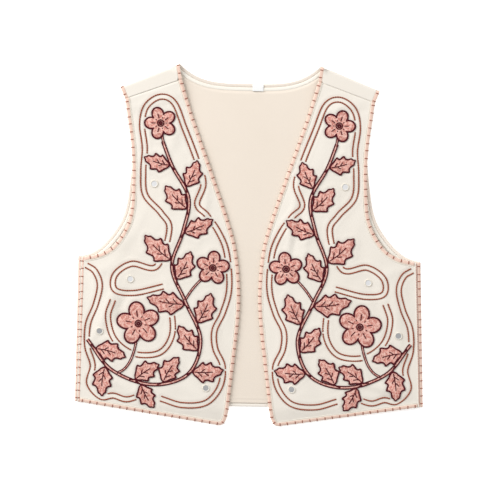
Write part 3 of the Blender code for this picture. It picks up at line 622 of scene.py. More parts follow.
def clothLook(name, colour, shade, threads, depth, rough=0.9, sheen=0.15):
    # woven cloth: base colour, its darker tone for soft patches, for streaks and, as painted shade, between
    # threads, threads in a metre, relief in metres
    made, tree, shader, uv = startLook(name, rough, sheen)
    weave = useGroup(tree, "weave", {"Vector": uv, "Threads": threads})
    tone = useGroup(tree, "tone", {"Vector": uv})["Tone"]
    base = blend(tree, times(tree, tone, 0.5), colour, shade)
    base = blend(tree, spread(tree, weave["Streaks"], 0.35, 0.65, 0.0, 0.35), base, shade)
    # painted shade: the low places between the threads are mixed towards a darker tone
    base = blend(tree, spread(tree, weave["Height"], 0.0, 0.45, 0.45, 0.0), base, darker(shade, 0.72))
    feed(shader, {"Base Color": base,
                  "Roughness": calc(tree, "MULTIPLY_ADD", weave["Streaks"], 0.12, rough - 0.06)})
    bump(tree, shader, weave["Height"], 0.5, depth)
    return made


def threadLook(name, colour, dark, pitch, stitch, rough=0.62, sheen=0.2, endsShade=0.75, specular=0.15):
    # twisted thread: plies in the bump, fibre streaks in the colour, and painted shade in the colour at stitch
    # ends, where each stitch dips, and in the grooves between plies
    made, tree, shader, uv = startLook(name, rough, sheen, specular=specular)
    twist = useGroup(tree, "twist", {"Vector": uv, "Pitch": pitch, "Stitch": stitch})
    base = blend(tree, spread(tree, twist["Fibre"], 0.3, 0.7, 0.0, 0.6), colour, dark)
    # painted shade where each stitch dips into the cloth at its ends
    base = blend(tree, times(tree, twist["Ends"], endsShade), base, darker(dark, 0.6))
    # painted shade in the grooves between the plies
    base = blend(tree, spread(tree, twist["Height"], 0.0, 0.5, 0.35, 0.0), base, darker(dark, 0.6))
    feed(shader, {"Base Color": base,
                  "Roughness": calc(tree, "MULTIPLY_ADD", twist["Fibre"], 0.25, rough - 0.12)})
    bump(tree, shader, twist["Height"], 0.6, 0.00018)
    return made


def appliqueLook(name, colour, dark, pale):
    # marbled pink cloth with pale flecks, veins and grain
    made, tree, shader, uv = startLook(name, 0.82, 0.2, (1.0, 0.9, 0.86), specular=0.2)
    mottle = useGroup(tree, "mottle", {"Vector": uv, "Scale": 66.0})
    weave = useGroup(tree, "weave", {"Vector": uv, "Threads": 1500.0})
    base = blend(tree, mottle["Clouds"], dark, colour)
    for share in (times(tree, mottle["Flecks"], 0.6), times(tree, mottle["Veins"], 0.75),
                  spread(tree, mottle["Grain"], 0.42, 0.66, 0.0, 0.5)):
        base = blend(tree, share, base, pale)
    feed(shader, {"Base Color": base, "Roughness": calc(tree, "MULTIPLY_ADD", mottle["Clouds"], -0.14, 0.9)})
    bump(tree, shader, calc(tree, "ADD", times(tree, weave["Height"], 0.4), mottle["Flecks"]), 0.45, 0.00022)
    return made


def bandLook(name, colour, shade, edge, low, high):
    # woven tape: coloured between two widths from its outer line, and of the edge's tone beside them
    made = clothLook(name, colour, shade, 1300.0, 0.00016)
    tree = made.node_tree
    shader, uv = tree.nodes["Principled BSDF"], tree.nodes["UV Map"].outputs[0]
    woven, soft = shader.inputs["Base Color"].links[0].from_socket, 0.0004
    across = calc(tree, "ADD", put(tree, "ShaderNodeSeparateXYZ", {0: uv}).outputs[1],
                  times(tree, offHalf(tree, noise(tree, uv, 260.0)), 0.0012))
    within = times(tree, spread(tree, across, low - soft, low + soft),
                   spread(tree, across, high - soft, high + soft, 1.0, 0.0))
    feed(shader, {"Base Color": blend(tree, within, edge, woven)})
    return made


def mirrorLook(name, colour, rough):
    # small mirrors with faint clouding, some of them clear and some clouded to a pearly white
    made, tree, shader, uv = startLook(name, rough, metallic=1.0, specular=0.5)
    cloudy = noise(tree, uv, 300.0, 3.0)
    feed(shader, {"Base Color": blend(tree, cloudy, darker(colour, 0.9), colour),
                  "Metallic": spread(tree, noise(tree, uv, 11.0, 0.0), 0.42, 0.58, 0.15, 1.0),
                  "Roughness": calc(tree, "MULTIPLY_ADD", cloudy, 0.12, rough - 0.06)})
    bump(tree, shader, cloudy, 0.08, 0.0002)
    return made


pinkTape, pinkTapeShade = (0.885, 0.655, 0.545), (0.82, 0.56, 0.455)
looks = {
    "outer": clothLook("creamCloth", (0.865, 0.81, 0.73), (0.825, 0.765, 0.68), 1500.0, 0.00005),
    "lining": clothLook("beigeLining", (0.845, 0.752, 0.65), (0.81, 0.715, 0.61), 1900.0, 0.00004, 0.8, 0.2),
    "tape": clothLook("creamTape", (0.93, 0.885, 0.80), (0.89, 0.84, 0.75), 1400.0, 0.00008),
    "band": bandLook("pinkTape", pinkTape, pinkTapeShade, (0.87, 0.76, 0.65), 0.0003, 0.0049),
    # the side tape's cream edge is painted darker than the panel's cream, as shade that keeps its raised rim
    # from looking lighter
    "sideBand": bandLook("pinkSideTape", (0.88, 0.65, 0.55), (0.82, 0.57, 0.47), (0.83, 0.77, 0.69),
                         -0.01, 0.0017),
    "innerBand": bandLook("pinkInnerTape", pinkTape, pinkTapeShade, (0.92, 0.86, 0.78), 0.0012, 0.01),
    "hemBand": clothLook("creamHemTape", (0.95, 0.885, 0.805), (0.90, 0.83, 0.74), 1500.0, 0.00008),
    "bandInside": clothLook("tanTape", (0.83, 0.745, 0.66), (0.78, 0.69, 0.60), 1300.0, 0.00010),
    "armholeInside": clothLook("paleTape", (0.93, 0.83, 0.735), (0.88, 0.77, 0.67), 1300.0, 0.00010),
    "applique": appliqueLook("pinkApplique", (0.61, 0.205, 0.163), (0.42, 0.12, 0.092), (0.94, 0.62, 0.53)),
    "plum": threadLook("plumCord", (0.115, 0.010, 0.018), (0.060, 0.005, 0.010),
                       0.0007, 0.0009, 0.6, 0.0, 0.3, 0.1),
    "line": threadLook("brownStitch", (0.41, 0.11, 0.055), (0.27, 0.062, 0.030),
                       0.0011, 0.0034, 0.75, 0.0, 0.9),
    "overcast": threadLook("pinkOvercast", (0.70, 0.44, 0.35), (0.46, 0.23, 0.18),
                           0.0012, 0.0036, 0.8, 0.1, 1.0),
    "tick": threadLook("duskyStitch", (0.44, 0.16, 0.11), (0.29, 0.095, 0.065),
                       0.0010, 0.02, 0.7, 0.0),
    "piping": threadLook("creamPiping", (0.93, 0.88, 0.79), (0.88, 0.81, 0.70),
                         0.0016, 0.0034, 0.85, 0.2, 0.12),
    "mirror": mirrorLook("mirrorDisc", (0.84, 0.84, 0.85), 0.14),
    "label": clothLook("whiteLabel", (0.93, 0.93, 0.92), (0.88, 0.88, 0.87), 2600.0, 0.00004, 0.45, 0.4),
}
print("materials made")

# The motif: a climbing vine with pointed leaves and round blossoms, and stitched lines that wind round it
vine = {
    "stem": [(234, -140), (198, -184), (140, -204), (88, -188), (70, -138), (92, -84), (112, -34), (96, 18),
             (88, 66), (112, 112), (126, 148)],
    # place along the stem, side, length, width, lean in degrees
    "leaves": [(0.03, -1, 44, 27, 40), (0.085, 1, 42, 27, 50), (0.172, -1, 40, 26, 50), (0.19, 1, 37, 24, 46),
               (0.25, -1, 42, 27, 50), (0.335, 1, 44, 28, 46), (0.395, -1, 44, 27, 50), (0.47, 1, 46, 29, 48),
               (0.53, -1, 54, 31, 56), (0.60, 1, 44, 27, 50), (0.655, -1, 50, 30, 58), (0.735, 1, 44, 26, 48),
               (0.80, -1, 44, 27, 52), (0.86, 1, 40, 25, 50), (0.93, -1, 38, 24, 48)],
    "blossoms": [(160, -116, 62, 10), (53, -34, 48, 25), (129, 174, 46, 0)],  # middle, width, turn
    "stalks": [[(192, -188), (170, -184), (163, -141)], [(93, -82), (82, -62), (68, -50)],
               [(124, 143), (126, 149), (127, 158)]],
    "stalk": 4.0, "teeth": 3.5, "toothDepth": 0.32, "bend": 0.12, "petals": 5, "petalDepth": 0.48,
}
stem = curveThrough(vine["stem"], 1.0)


def leafFrame(leaf):
    # the bent midrib r(t) = base + sum of steps, and its direction at each t
    along, side, length, _, lean = leaf
    reach = distances(stem)[-1]
    base = pointAt(stem, along * reach)
    ahead = pointAt(stem, along * reach + 1.0) - pointAt(stem, along * reach - 1.0)
    start = math.atan2(ahead[1], ahead[0]) + side * math.radians(lean)
    t = np.linspace(0.0, 1.0, 81)
    turn = start - side * vine["bend"] * math.pi * (t - 0.5)
    steps = heading(turn) * length / 80.0
    rib = base + unit(steps[0]) * vine["stalk"] + np.vstack([[[0.0, 0.0]], np.cumsum(steps[:-1], axis=0)])
    return t, turn, rib, base


def leafAt(leaf, t, s):
    # r(t) + left(t)·w(t)·s, with w = 1.12·(width/2)·sin(πt^0.8)·(1.1 - 0.2t)·(1 - d|sin|); teeth lean ahead
    grid, turn, rib, _ = leafFrame(leaf)
    ahead = heading(np.interp(t, grid, turn))
    tooth = np.abs(np.sin(math.pi * vine["teeth"] * t))
    half = leaf[3] / 2 * 1.12 * np.sin(math.pi * t**0.8) * (1.1 - 0.2 * t)
    half = half * (1.0 - vine["toothDepth"] * tooth)
    lean = 3.0 * (1.0 - tooth) ** 2 * np.sin(math.pi * t) * np.abs(s)
    return readAt(t, grid, rib) + rotated(ahead) * (half * s)[..., None] + ahead * lean[..., None]


def leafOutline(leaf, count=46):
    # up one edge of a leaf and down the other
    t = np.linspace(0.015, 0.995, count)
    s = np.repeat([1.0, -1.0], count)
    return spacedLoop(leafAt(leaf, np.concatenate([t, t[::-1]]), s), 1.0)


def blossomAt(blossom, angle, share):
    # petals: reach R(1 - d + d|cos 2.5a|^¾), scaled by share
    x, y, width, turn = blossom
    petal = np.abs(np.cos(vine["petals"] / 2 * angle)) ** 0.75
    reach = width / 2 * (1.0 - vine["petalDepth"] + vine["petalDepth"] * petal)
    return np.array([x, y]) + heading(angle + math.radians(turn)) * (reach * share)[..., None]


def blossomOutline(blossom):
    # once round a blossom
    return spacedLoop(blossomAt(blossom, fullTurn(400), np.ones(400)), 1.0)


outlines = [leafOutline(leaf) for leaf in vine["leaves"]] + [blossomOutline(one) for one in vine["blossoms"]]

# Stitched double lines: the middle of each pair; and the small mirrors, one of them in each open field
lines = {
    "curves": {
        "long": [(124, -62), (166, -72), (194, -68), (194, -46), (170, -30), (134, -33), (116, 20), (128, 44),
                 (151, 70), (154, 104), (152, 138), (156, 172), (150, 198), (130, 212), (110, 204), (95, 168),
                 (77, 122), (67, 88), (76, 58), (62, 42), (45, 18), (33, -12), (29, -62), (38, -98),
                 (50, -124), (49, -150), (38, -176), (42, -206), (62, -229), (96, -233), (128, -224)],
        "blossom": [(122, -64), (112, -100), (112, -134), (130, -158), (166, -160), (194, -140), (204, -108),
                    (197, -82)],
        "hem": [(128, -224), (148, -218), (176, -226), (196, -221), (214, -223), (231, -204), (226, -178),
                (234, -150), (233, -118), (222, -90), (216, -62), (223, -42), (236, -33)],
    },
    "apart": 7.2, "radius": 1.02, "stitch": 3.4, "clear": 3.4, "stemClear": 0.8, "fewest": 26,
}
mirrors = {
    "places": [(138, 86), (172, -52), (216, -128), (62, -208)], "radius": 4.8, "high": 0.55, "dome": 0.15,
    "low": 0.1, "ring": 0.75, "ringLift": 0.6,
}
mirrorPlaces = np.array(mirrors["places"], float)


def motifClear(points, margin):
    # which points are clear of every leaf, blossom, stem and mirror
    clear = nearest(points, np.vstack(outlines)) > margin
    for outline in outlines:
        clear &= ~insideOf(points, outline)
    stalks = [bezier(stalk, 30) for stalk in vine["stalks"]]
    clear &= nearest(points, np.vstack([stem] + stalks)) > margin + lines["stemClear"]
    return clear & (nearest(points, mirrorPlaces) > mirrors["radius"] + margin)


def stitchedRuns():
    # each curve moved to both sides by half the distance apart, and cut where a motif lies over it
    runs = []
    for points in lines["curves"].values():
        middle = curveThrough(points, 0.6)
        for side in (0.5, -0.5):
            line = middle + leftOf(middle) * lines["apart"] * side
            keep = motifClear(line, lines["clear"])
            turns = np.flatnonzero(np.diff(keep.astype(int))) + 1
            for piece in np.split(np.arange(len(line)), turns):
                if keep[piece[0]] and len(piece) > lines["fewest"]:
                    runs.append(spaced(line[piece], 0.68))
    return runs


runs = stitchedRuns()
pressed = np.vstack([run[::3] for run in runs])
ringed = np.vstack([outline[::3] for outline in outlines])
print("motif laid out:", len(outlines), "outlines,", len(runs), "stitched runs")


def coons(left, right, bottom, top, v, u):
    # (1-v)·bottom + v·top + (1-u)·left + u·right less the same mix of the four corners; sides read by length
    def read(line, share):
        # the points at shares of the line's length
        along = distances(line)
        return readAt(share, along / along[-1], line)

    left, right = read(left, v)[:, None], read(right, v)[:, None]
    bottom, top = read(bottom, u)[None], read(top, u)[None]
    u, v = u[None, :, None], v[:, None, None]
    low, high = ((1 - u) * line[:, :1] + u * line[:, -1:] for line in (bottom, top))
    return (1 - v) * (bottom - low) + v * (top - high) + (1 - u) * left + u * right


def nodeOf(name):
    # the node that a piece takes the place of: frontEdgeBandLeft gives front_edge_band_left
    return re.sub(r"[A-Z]|\d+", lambda found: "_" + found[0].lower(), name)


def shell(name, place, flat, low, high, look, node=None):
    # a thin closed wall over a grid of flat points, between two lifts from the place's surface
    top, bottom = laid(place, flat, high)[0], laid(place, flat, low)[0]
    points = np.vstack([top.reshape(-1, 3), bottom.reshape(-1, 3)])
    uv = np.vstack([flat.reshape(-1, 2)] * 2) * 0.001
    piece = makePiece(name, points, shellQuads(*flat.shape[:2]), uv, looks[look])
    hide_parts(node or nodeOf(name))
    return piece


# The cloth of each front: its insets inside the strips, the cells of its grid, how deep sewing presses it in and
# how far it puffs beside (depth, width, height, distance, width), ripples, and its drop at the shoulder seam
front = {
    "inset": {"edge": 3.0, "side": 2.0, "armhole": 3.0, "seam": 0.03}, "rows": 224, "columns": 104,
    "cornerUp": -200.0, "line": (0.28, 1.7, 0.22, 4.5, 2.4), "motif": (0.25, 2.2, 0.30, 5.5, 3.0),
    "ripple": 0.16, "seamDrop": 0.55, "seamWide": 1.6,
}


def seamDistance(points):
    # how far points lie from a front's shoulder seam
    start = frontCut["seam"][-1]
    return np.abs((points - start) @ -rotated(unit(frontCut["seam"][0] - start)))


def frontGrid():
    # a front's panel between edge, side with armhole, hem and seam; the corner is where the edge runs at -45°
    edges = inset(frontCut, front["inset"])
    edge, side, armhole, seam = (partOf(*edges[name]) for name in ("edge", "side", "armhole", "seam"))
    run = np.gradient(edge, axis=0)
    fromDiagonal = np.abs(np.arctan2(run[:, 1], run[:, 0]) + math.pi / 4)
    fromDiagonal = fromDiagonal + (edge[:, 1] > front["cornerUp"]) * 9.0
    corner = int(np.argmin(fromDiagonal))
    return coons(edge[:corner + 1][::-1], np.vstack([side, armhole[1:]]), edge[corner:], seam[::-1],
                 np.linspace(0.0, 1.0, front["rows"]), np.linspace(0.0, 1.0, front["columns"]))


def frontRelief(points):
    # -a·exp(-(d/b)²) + c·exp(-((d-e)/f)²) beside lines and motifs, and r·sin·sin over the rest
    relief = np.zeros(len(points))
    for away, key in ((nearest(points, pressed), "line"), (nearest(points, ringed), "motif")):
        a, b, c, e, f = front[key]
        relief += -a * np.exp(-(away / b) ** 2) + c * np.exp(-((away - e) / f) ** 2)
    x, y = points.T
    across, up = np.sin(x / 8.0 + 1.7 * np.sin(y / 21.0)), np.sin(y / 11.0 + 1.3 * np.sin(x / 17.0))
    fromSeam = np.clip(seamDistance(points) / front["seamWide"], 0.0, 1.0)
    return relief + front["ripple"] * across * up - front["seamDrop"] * (1.0 - fromSeam) ** 2


frontFlat = frontGrid()
frontHigh = frontRelief(frontFlat.reshape(-1, 2)).reshape(frontFlat.shape[:2])
made = {"left": [], "right": [], "back": []}  # pieces sewn on each panel


def buildFront(place):
    # the cloth of one front, its top raised by the relief
    half = cloth["front"] / 2
    shell("front" + place.capitalize(), place, frontFlat, -half, half + frontHigh, "outer")


def stepsTo(stops, counts):
    # places from 0 to 1 that stand closer together between some stops
    return np.concatenate([np.linspace(a, b, count, endpoint=False)
                           for a, b, count in zip(stops[:-1], stops[1:], counts)] + [[1.0]])


def backGrid(widths, rows, columns):
    # the half of the back from the centre line out to side, armhole and shoulder
    edges = inset(backCut, widths)
    hem, side, armhole, seam, neck = (partOf(*edges[name])
                                      for name in ("hem", "sideLeft", "armholeLeft", "seamLeft", "neck"))
    hem, neck = hem[hem[:, 0] > 0.2], neck[neck[:, 0] > 0.2]
    hem, neck = np.vstack([[[0.0, hem[0, 1]]], hem]), np.vstack([neck, [[0.0, neck[-1, 1]]]])
    middle = np.array([[0.0, hem[0, 1]], [0.0, neck[-1, 1]]])
    top = np.vstack([neck[::-1], seam[::-1][1:]])
    return coons(middle, np.vstack([side, armhole[1:]]), hem, top, rows, columns)


def wholeBack(flat):
    # the half grid and its mirror image as one, from wearer's right to left
    return np.concatenate([flat[:, :0:-1] * np.array([-1.0, 1.0]), flat], axis=1)


# Where the back's grid is finer: at the shoulders' rolls and at the sides'
backRows, backColumns = stepsTo([0.0, 0.93, 1.0], [80, 24]), stepsTo([0.0, 0.94, 1.0], [36, 22])


def buildBack():
    # the cloth of the back, as far as its strips
    gap = cloth["gap"]
    widths = {name: 0.04 if "seam" in name else cloth["sideBand"] + gap if "side" in name
              else cloth["backBand"] + gap / 2 for name in backCut}
    flat = wholeBack(backGrid(widths, backRows, backColumns))
    half = cloth["back"] / 2
    shell("backPanel", "back", flat, -half, half, "outer", "back")


# Strips: a closed ring, each point a share across from the outer to the inner line and a share of the lift;
# the columns that are the outside where a strip turns over; and how its top ripples where stitches draw it in
bandShape = {
    "across": [0.03, 0.0, 0.0, 0.05, 0.14, 0.30, 0.52, 0.74, 0.92, 1.0, 1.0, 0.92, 0.6, 0.3],
    "lift": [0.0, 0.12, 0.38, 0.66, 0.86, 0.98, 1.04, 1.02, 0.93, 0.70, 0.1, 0.0, 0.0, 0.0],
    "under": [0, 1, 9, 10, 11, 12, 13], "pitch": 11.0, "drift": 37.0,
}


def bandLines(edges, name, near, far, ends):
    # the outer and inner lines of a strip along one edge, with as many points
    outer, outStart, outStop = inset(edges, {**ends, name: near})[name]
    inner, inStart, inStop = inset(edges, {**ends, name: far})[name]
    outAt, inAt = distances(outer), distances(inner)
    keep = (outAt > outStart + 0.5) & (outAt < outStop - 0.5) & (inAt > inStart + 0.5) & (inAt < inStop - 0.5)
    return [np.vstack([pointAt(line, a), line[keep], pointAt(line, b)])
            for line, a, b in ((outer, outStart, outStop), (inner, inStart, inStop))]


def strip(name, place, outer, inner, low, high, look, ripple=0.0, under=None, node=None):
    # a rounded flat tape between two lines; its top ripples as r·sin(2πs/pitch)
    across, lift = (np.array(bandShape[key]) for key in ("across", "lift"))
    flat = outer[:, None] + (inner - outer)[:, None] * across[None, :, None]
    along = distances((outer + inner) / 2)
    phase = along * 2.0 * math.pi / bandShape["pitch"] + 0.4 * np.sin(along / bandShape["drift"])
    ripples = ripple * np.sin(phase)[:, None] * (lift > 0.5)
    points = laid(place, flat, low + (high - low) * (lift[None] + ripples))[0]
    count, sides = flat.shape[:2]
    caps = ringCaps(count, sides)
    quads = np.vstack([gridQuads(count, sides, closedColumns=True), caps])
    width = float(np.linalg.norm(inner[0] - outer[0]))
    uv = np.stack(np.broadcast_arrays(along[:, None], across[None] * width), axis=-1).reshape(-1, 2) * 0.001
    piece = makePiece(name, points.reshape(-1, 3), quads, uv, looks[look])
    if under:
        piece.data.materials.append(looks[under])
        ring = np.concatenate([np.tile(np.isin(np.arange(sides), bandShape["under"]), count - 1),
                               np.ones(len(caps), bool)])
        piece.data.polygons.foreach_set("material_index", ring.astype(np.int32))
    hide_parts(node or nodeOf(name))
    made[place].append(piece)
    return piece


# A front's strips: the lifts of their lower and upper sides from the cloth's middle, and the side strip's look
frontStrips = {
    "edge": (-1.6, 1.6), "armhole": (-1.0, 1.6), "side": (-1.0, 1.3), "ripple": 0.03,
    "sideLook": {"left": "sideBand", "right": "innerBand"},
}


def buildFrontStrips(place):
    # how far in from the cut each strip runs, and the neighbours that it stops at
    gap, wide, side = cloth["gap"], cloth["frontBand"], cloth["sideBand"]
    near = {"edge": 0.0, "side": gap / 2, "armhole": 0.0, "seam": gap / 2}
    panel = {"edge": wide + gap, "side": side + 1.5 * gap, "armhole": wide + gap, "seam": gap / 2}
    none = dict.fromkeys(near, 0.0)
    for name, width, ends, look in (("edge", wide, panel, "band"), ("armhole", wide, panel, "band"),
                                    ("side", side, none, frontStrips["sideLook"][place])):
        pair = bandLines(frontCut, name, near[name], near[name] + width, ends)
        strip(f"front{name.capitalize()}Band{place.capitalize()}", place, *pair, *frontStrips[name], look,
              frontStrips["ripple"])


def buildBackStrips():
    # the back's strips: their inside shows round the V, their outside where they turn over
    gap, wide, side, half = cloth["gap"], cloth["backBand"], cloth["sideBand"], cloth["back"] / 2
    near = {name: gap / 2 if "side" in name or "seam" in name else 0.0 for name in backCut}
    width = {name: side if "side" in name else 0.0 if "seam" in name else wide for name in backCut}
    far = {name: near[name] + width[name] for name in backCut}
    panel = {name: far[name] + (0.0 if "seam" in name else gap) for name in backCut}
    none = dict.fromkeys(backCut, 0.0)
    for name, title, look in (("hem", "backHemBand", "hemBand"), ("neck", "backNeckBand", "bandInside"),
                              ("armholeLeft", "backArmholeBandLeft", "armholeInside"),
                              ("armholeRight", "backArmholeBandRight", "armholeInside"),
                              ("sideLeft", "backSideBandLeft", "bandInside"),
                              ("sideRight", "backSideBandRight", "bandInside")):
        pair = bandLines(backCut, name, near[name], far[name], none if "side" in name else panel)
        strip(title, "back", *pair, -half, half, look, under="band")


# The inside of the back: bright tapes along the neck and the armholes, and the lining between them, with the
# fold of its hem (distance up, height, width), the dip beside it and its slow waves
inside = {
    "seam": 31.0, "side": 10.5, "other": 5.3, "lift": cloth["back"] / 2 + 0.3, "sink": 0.12,
    "fold": (12.5, 0.16, 1.3), "dip": (2.6, 0.12, 1.4), "wave": 0.10,
    "taped": {"neck": "inside_neck_tape", "armholeLeft": "inside_armhole_tape_left",
              "armholeRight": "inside_armhole_tape_right"},
}


def liningRelief(x, y):
    # a·exp(-(f/b)²) - c·exp(-((f+d)/e)²) for f up from the fold, and w·sin·sin
    up, foldHigh, foldWide = inside["fold"]
    beside, dipDeep, dipWide = inside["dip"]
    fold = y - backHemUp(x) - up
    relief = foldHigh * np.exp(-(fold / foldWide) ** 2) - dipDeep * np.exp(-((fold + beside) / dipWide) ** 2)
    across, upward = np.sin(x / 26.0 + 1.3 * np.sin(y / 44.0)), np.sin(y / 33.0 + 1.1 * np.sin(x / 41.0))
    return relief + inside["wave"] * across * upward


def buildInside():
    # the tapes run inside the strips, and the lining stops at the tapes
    kinds = {name: "seam" if "seam" in name else "side" if "side" in name else "other" for name in backCut}
    tapeIn = {name: inside[kind] for name, kind in kinds.items()}
    tapeOut = {name: near + cloth["tapeWidth"] * (name in inside["taped"]) for name, near in tapeIn.items()}
    low = inside["lift"]
    for name, node in inside["taped"].items():
        pair = bandLines(backCut, name, tapeIn[name], tapeOut[name], tapeIn)
        title = f"inside{name[0].upper()}{name[1:]}Tape"
        strip(title, "back", *pair, low, low + cloth["tape"], "tape", node=node)
    rows, columns = stepsTo([0.0, 0.055, 1.0], [30, 84]), np.linspace(0.0, 1.0, 50)
    flat = wholeBack(backGrid({name: tapeOut[name] + 0.03 for name in backCut}, rows, columns))
    relief = liningRelief(*flat.reshape(-1, 2).T)
    high = (low + cloth["lining"] - inside["sink"] + relief).reshape(flat.shape[:2])
    shell("backLining", "back", flat, low, high, "lining")


# The blank label: its sides from the centre line and from the neck, its climb over the tape (rise, start,
# length), and how its top rounds down at the rim (depth, width) and dips at the hem (distance, depth, width)
label = {
    "left": 3.5, "right": 19.5, "up": -1.0, "down": 10.0, "climb": (1.4, 1.5, 3.0), "rim": (0.35, 0.9),
    "hem": (1.2, 0.15, 0.35),
}


def labelSurface(points):
    # the inside tapes' level, and a smooth climb over the tape: base + rise·smooth((up - start - y)/length)
    rise, start, length = label["climb"]
    base = backSurface(points)
    level = cloth["back"] + 0.3 + cloth["label"] / 2
    return np.stack([base[:, 0], base[:, 1],
                     level + rise * smooth((cut["backNeckUp"] - start - points[:, 1]) / length)], axis=1)


surfaces["label"], mirror["label"] = labelSurface, 1.0


def buildLabel():
    # thick/2 - a(1 - smooth(d/b)) - c·exp(-((d-e)/f)²) for d in from the nearest side
    x = np.linspace(label["left"], label["right"], 49)
    y = cut["backNeckUp"] + label["up"] - np.linspace(label["down"], 0.0, 33)
    flat = np.stack(np.meshgrid(x, y), axis=-1)
    across, up = flat[..., 0], flat[..., 1]
    edge = np.minimum.reduce([across - x[0], x[-1] - across, up - y[0], y[-1] - up])
    (rimDeep, rimWide), (hemIn, hemDeep, hemWide) = label["rim"], label["hem"]
    half = cloth["label"] / 2
    high = half - rimDeep * (1.0 - smooth(edge / rimWide))
    high = high - hemDeep * np.exp(-((edge - hemIn) / hemWide) ** 2)
    shell("neckLabel", "label", flat, -half, high, "label")


# Stitches over the strips: every pitch along the edge, from under the rim over to a share of the strip's
# width, how far they stand above it, how deep their inner end sinks, and the gap after the last one
ticks = {
    "pitch": 11.0, "radius": 0.70, "jitter": 0.6, "slant": 0.5, "above": 0.14, "sink": 0.34, "endGap": 2.0,
    "reach": {"edge": 0.70, "neck": 0.80, "armholeLeft": 0.80, "armholeRight": 0.80, "sideLeft": 1.0,
              "sideRight": 0.5, "inner": 0.88},
}


def turnedOver(points):
    # which points of the back's cut lie past the top of its rolls, outside upwards
    half = np.stack([np.abs(points[:, 0]), points[:, 1]], axis=1)
    return ((half - shoulderStart) @ shoulderOut > 1.25 * cloth["shoulderRoll"]) | \
        ((half - sideStart) @ sideOut > 1.25 * cloth["sideRoll"])


def tickTubes(place, outer, inner, low, high, reach, offset=0.0):
    # each stitch climbs the rim and runs over the strip a little way above it
    along, parts = distances(outer), []
    at = np.arange(ticks["pitch"] / 2 + offset, along[-1] - ticks["endGap"], ticks["pitch"])
    at = at + random.uniform(-ticks["jitter"], ticks["jitter"], len(at))
    slant = random.uniform(-ticks["slant"], ticks["slant"], len(at))
    if place == "back":
        shown = turnedOver(readAt(at, along, outer))
        at, slant = at[shown], slant[shown]
    top = slice(2, 10)
    share = reach * np.linspace(0.0, 1.03, 12)
    lift = np.interp(share, bandShape["across"][top], bandShape["lift"][top]) + ticks["above"]
    lift[-1] -= ticks["sink"]
    share, lift = np.append([-0.01, -0.035], share), np.append([0.12, 0.32], lift)
    left, width = leftOf(outer), float(np.linalg.norm(inner[0] - outer[0]))
    for spot, lean in zip(at, slant):
        a, away = readAt(spot, along, outer), readAt(spot, along, left)
        b = a + width * unit(away) - lean * rotated(away)
        path, normals = laid(place, a + (b - a) * share[:, None], low + (high - low) * lift)
        fine = spaced(path, 0.5)
        index = np.linspace(0, len(normals) - 1, len(fine)).round().astype(int)
        parts.append(tube(fine, normals[index], ticks["radius"], ticks["radius"] * 0.75, 6))
    return parts


# The cream cord inside the strips
piping = {
    "inset": 6.55, "sideGap": 1.2, "radius": 0.55, "lift": 1.0, "stitch": 3.4, "swell": 0.10, "step": 0.85,
}
# Overcasting beside each side seam: on the strip's inner part on one side, in the seam on the other
overcast = {
    "left": {"inset": 1.9, "lift": 1.15, "radius": 0.55, "look": "overcast", "slot": "pink_tape"},
    "right": {"inset": 0.0, "lift": 0.55, "radius": 0.75, "look": "piping", "slot": "cream_tape"},
    "stitch": 3.6, "rise": 0.25, "step": 0.6, "start": 3.0, "stop": 2.0,
}
# The stitches of a front's strips: how far from each crossing edge they stop, and their shift on the armhole
stitched = {"ends": {"edge": 0.0, "side": 4.0, "armhole": 0.0, "seam": 0.3}, "low": -1.0, "shift": 3.0}


def addTrim(place, name, parts, look):
    # one new piece sewn on a panel, from several parts, with its look
    piece = makePiece(name + place.capitalize(), *joined(parts), looks[look])
    made[place].append(piece)


def buildStitches(place):
    # stitches over the edge's and the armhole's strip, and down one side over the inner part only
    rows = [("edge", cloth["frontBand"], "edge", 0.0),
            ("armhole", cloth["frontBand"], "edge", stitched["shift"])]
    if place == "right":
        rows.append(("side", cloth["sideBand"], "inner", 0.0))
    parts = []
    for name, width, reach, offset in rows:
        pair = bandLines(frontCut, name, 0.0, width, stitched["ends"])
        high = frontStrips[name][1]
        parts += tickTubes(place, *pair, stitched["low"], high, ticks["reach"][reach], offset)
    addTrim(place, "edgeStitches", parts, "tick")


def buildPiping(place):
    # a cream cord inside the strips; its radius swells as 1 + 0.1·sin(2πs/stitch)
    inner = inset(frontCut, {"edge": piping["inset"], "side": cloth["sideBand"] + piping["sideGap"],
                             "armhole": piping["inset"], "seam": 0.6})
    cords = []
    for name in ("edge", "armhole"):
        line = spaced(partOf(*inner[name]), piping["step"])
        wave = np.sin(distances(line) * 2.0 * math.pi / piping["stitch"])
        size = piping["radius"] * (1.0 + piping["swell"] * wave)
        path, normals = laid(place, line, piping["lift"])
        cords.append(tube(path, normals, size, size))
    addTrim(place, "edgePiping", cords, "piping")


def buildOvercast(place):
    # overcasting down the side: the radius r(0.7 + 0.3·√|sin(πs/stitch)|), sinking at each stitch's end
    row = overcast[place]
    line = inset(frontCut, {"edge": overcast["start"], "side": row["inset"], "armhole": overcast["stop"],
                            "seam": 0.0})["side"]
    line = spaced(partOf(*line), overcast["step"])
    swell = np.abs(np.sin(distances(line) * math.pi / overcast["stitch"])) ** 0.5
    path, normals = laid(place, line, row["lift"] + overcast["rise"] * swell)
    size = row["radius"] * (0.7 + 0.3 * swell)
    addTrim(place, "sideOvercast", [tube(path, normals, size, size * 0.8)], row["look"])


def buildBackTicks():
    # the back's own strips carry the same stitches where they turn over at the shoulders and the sides
    half, parts = cloth["back"] / 2, []
    ends = {name: 0.3 if "seam" in name else 4.0 if "side" in name else 0.0 for name in backCut}
    for name in ("armholeLeft", "armholeRight", "neck", "sideLeft", "sideRight"):
        width = cloth["sideBand"] if "side" in name else cloth["backBand"]
        outer, inner = bandLines(backCut, name, 0.0, width, ends)
        parts += tickTubes("back", outer, inner, half, -half, ticks["reach"][name])
    addTrim("back", "edgeStitches", parts, "tick")


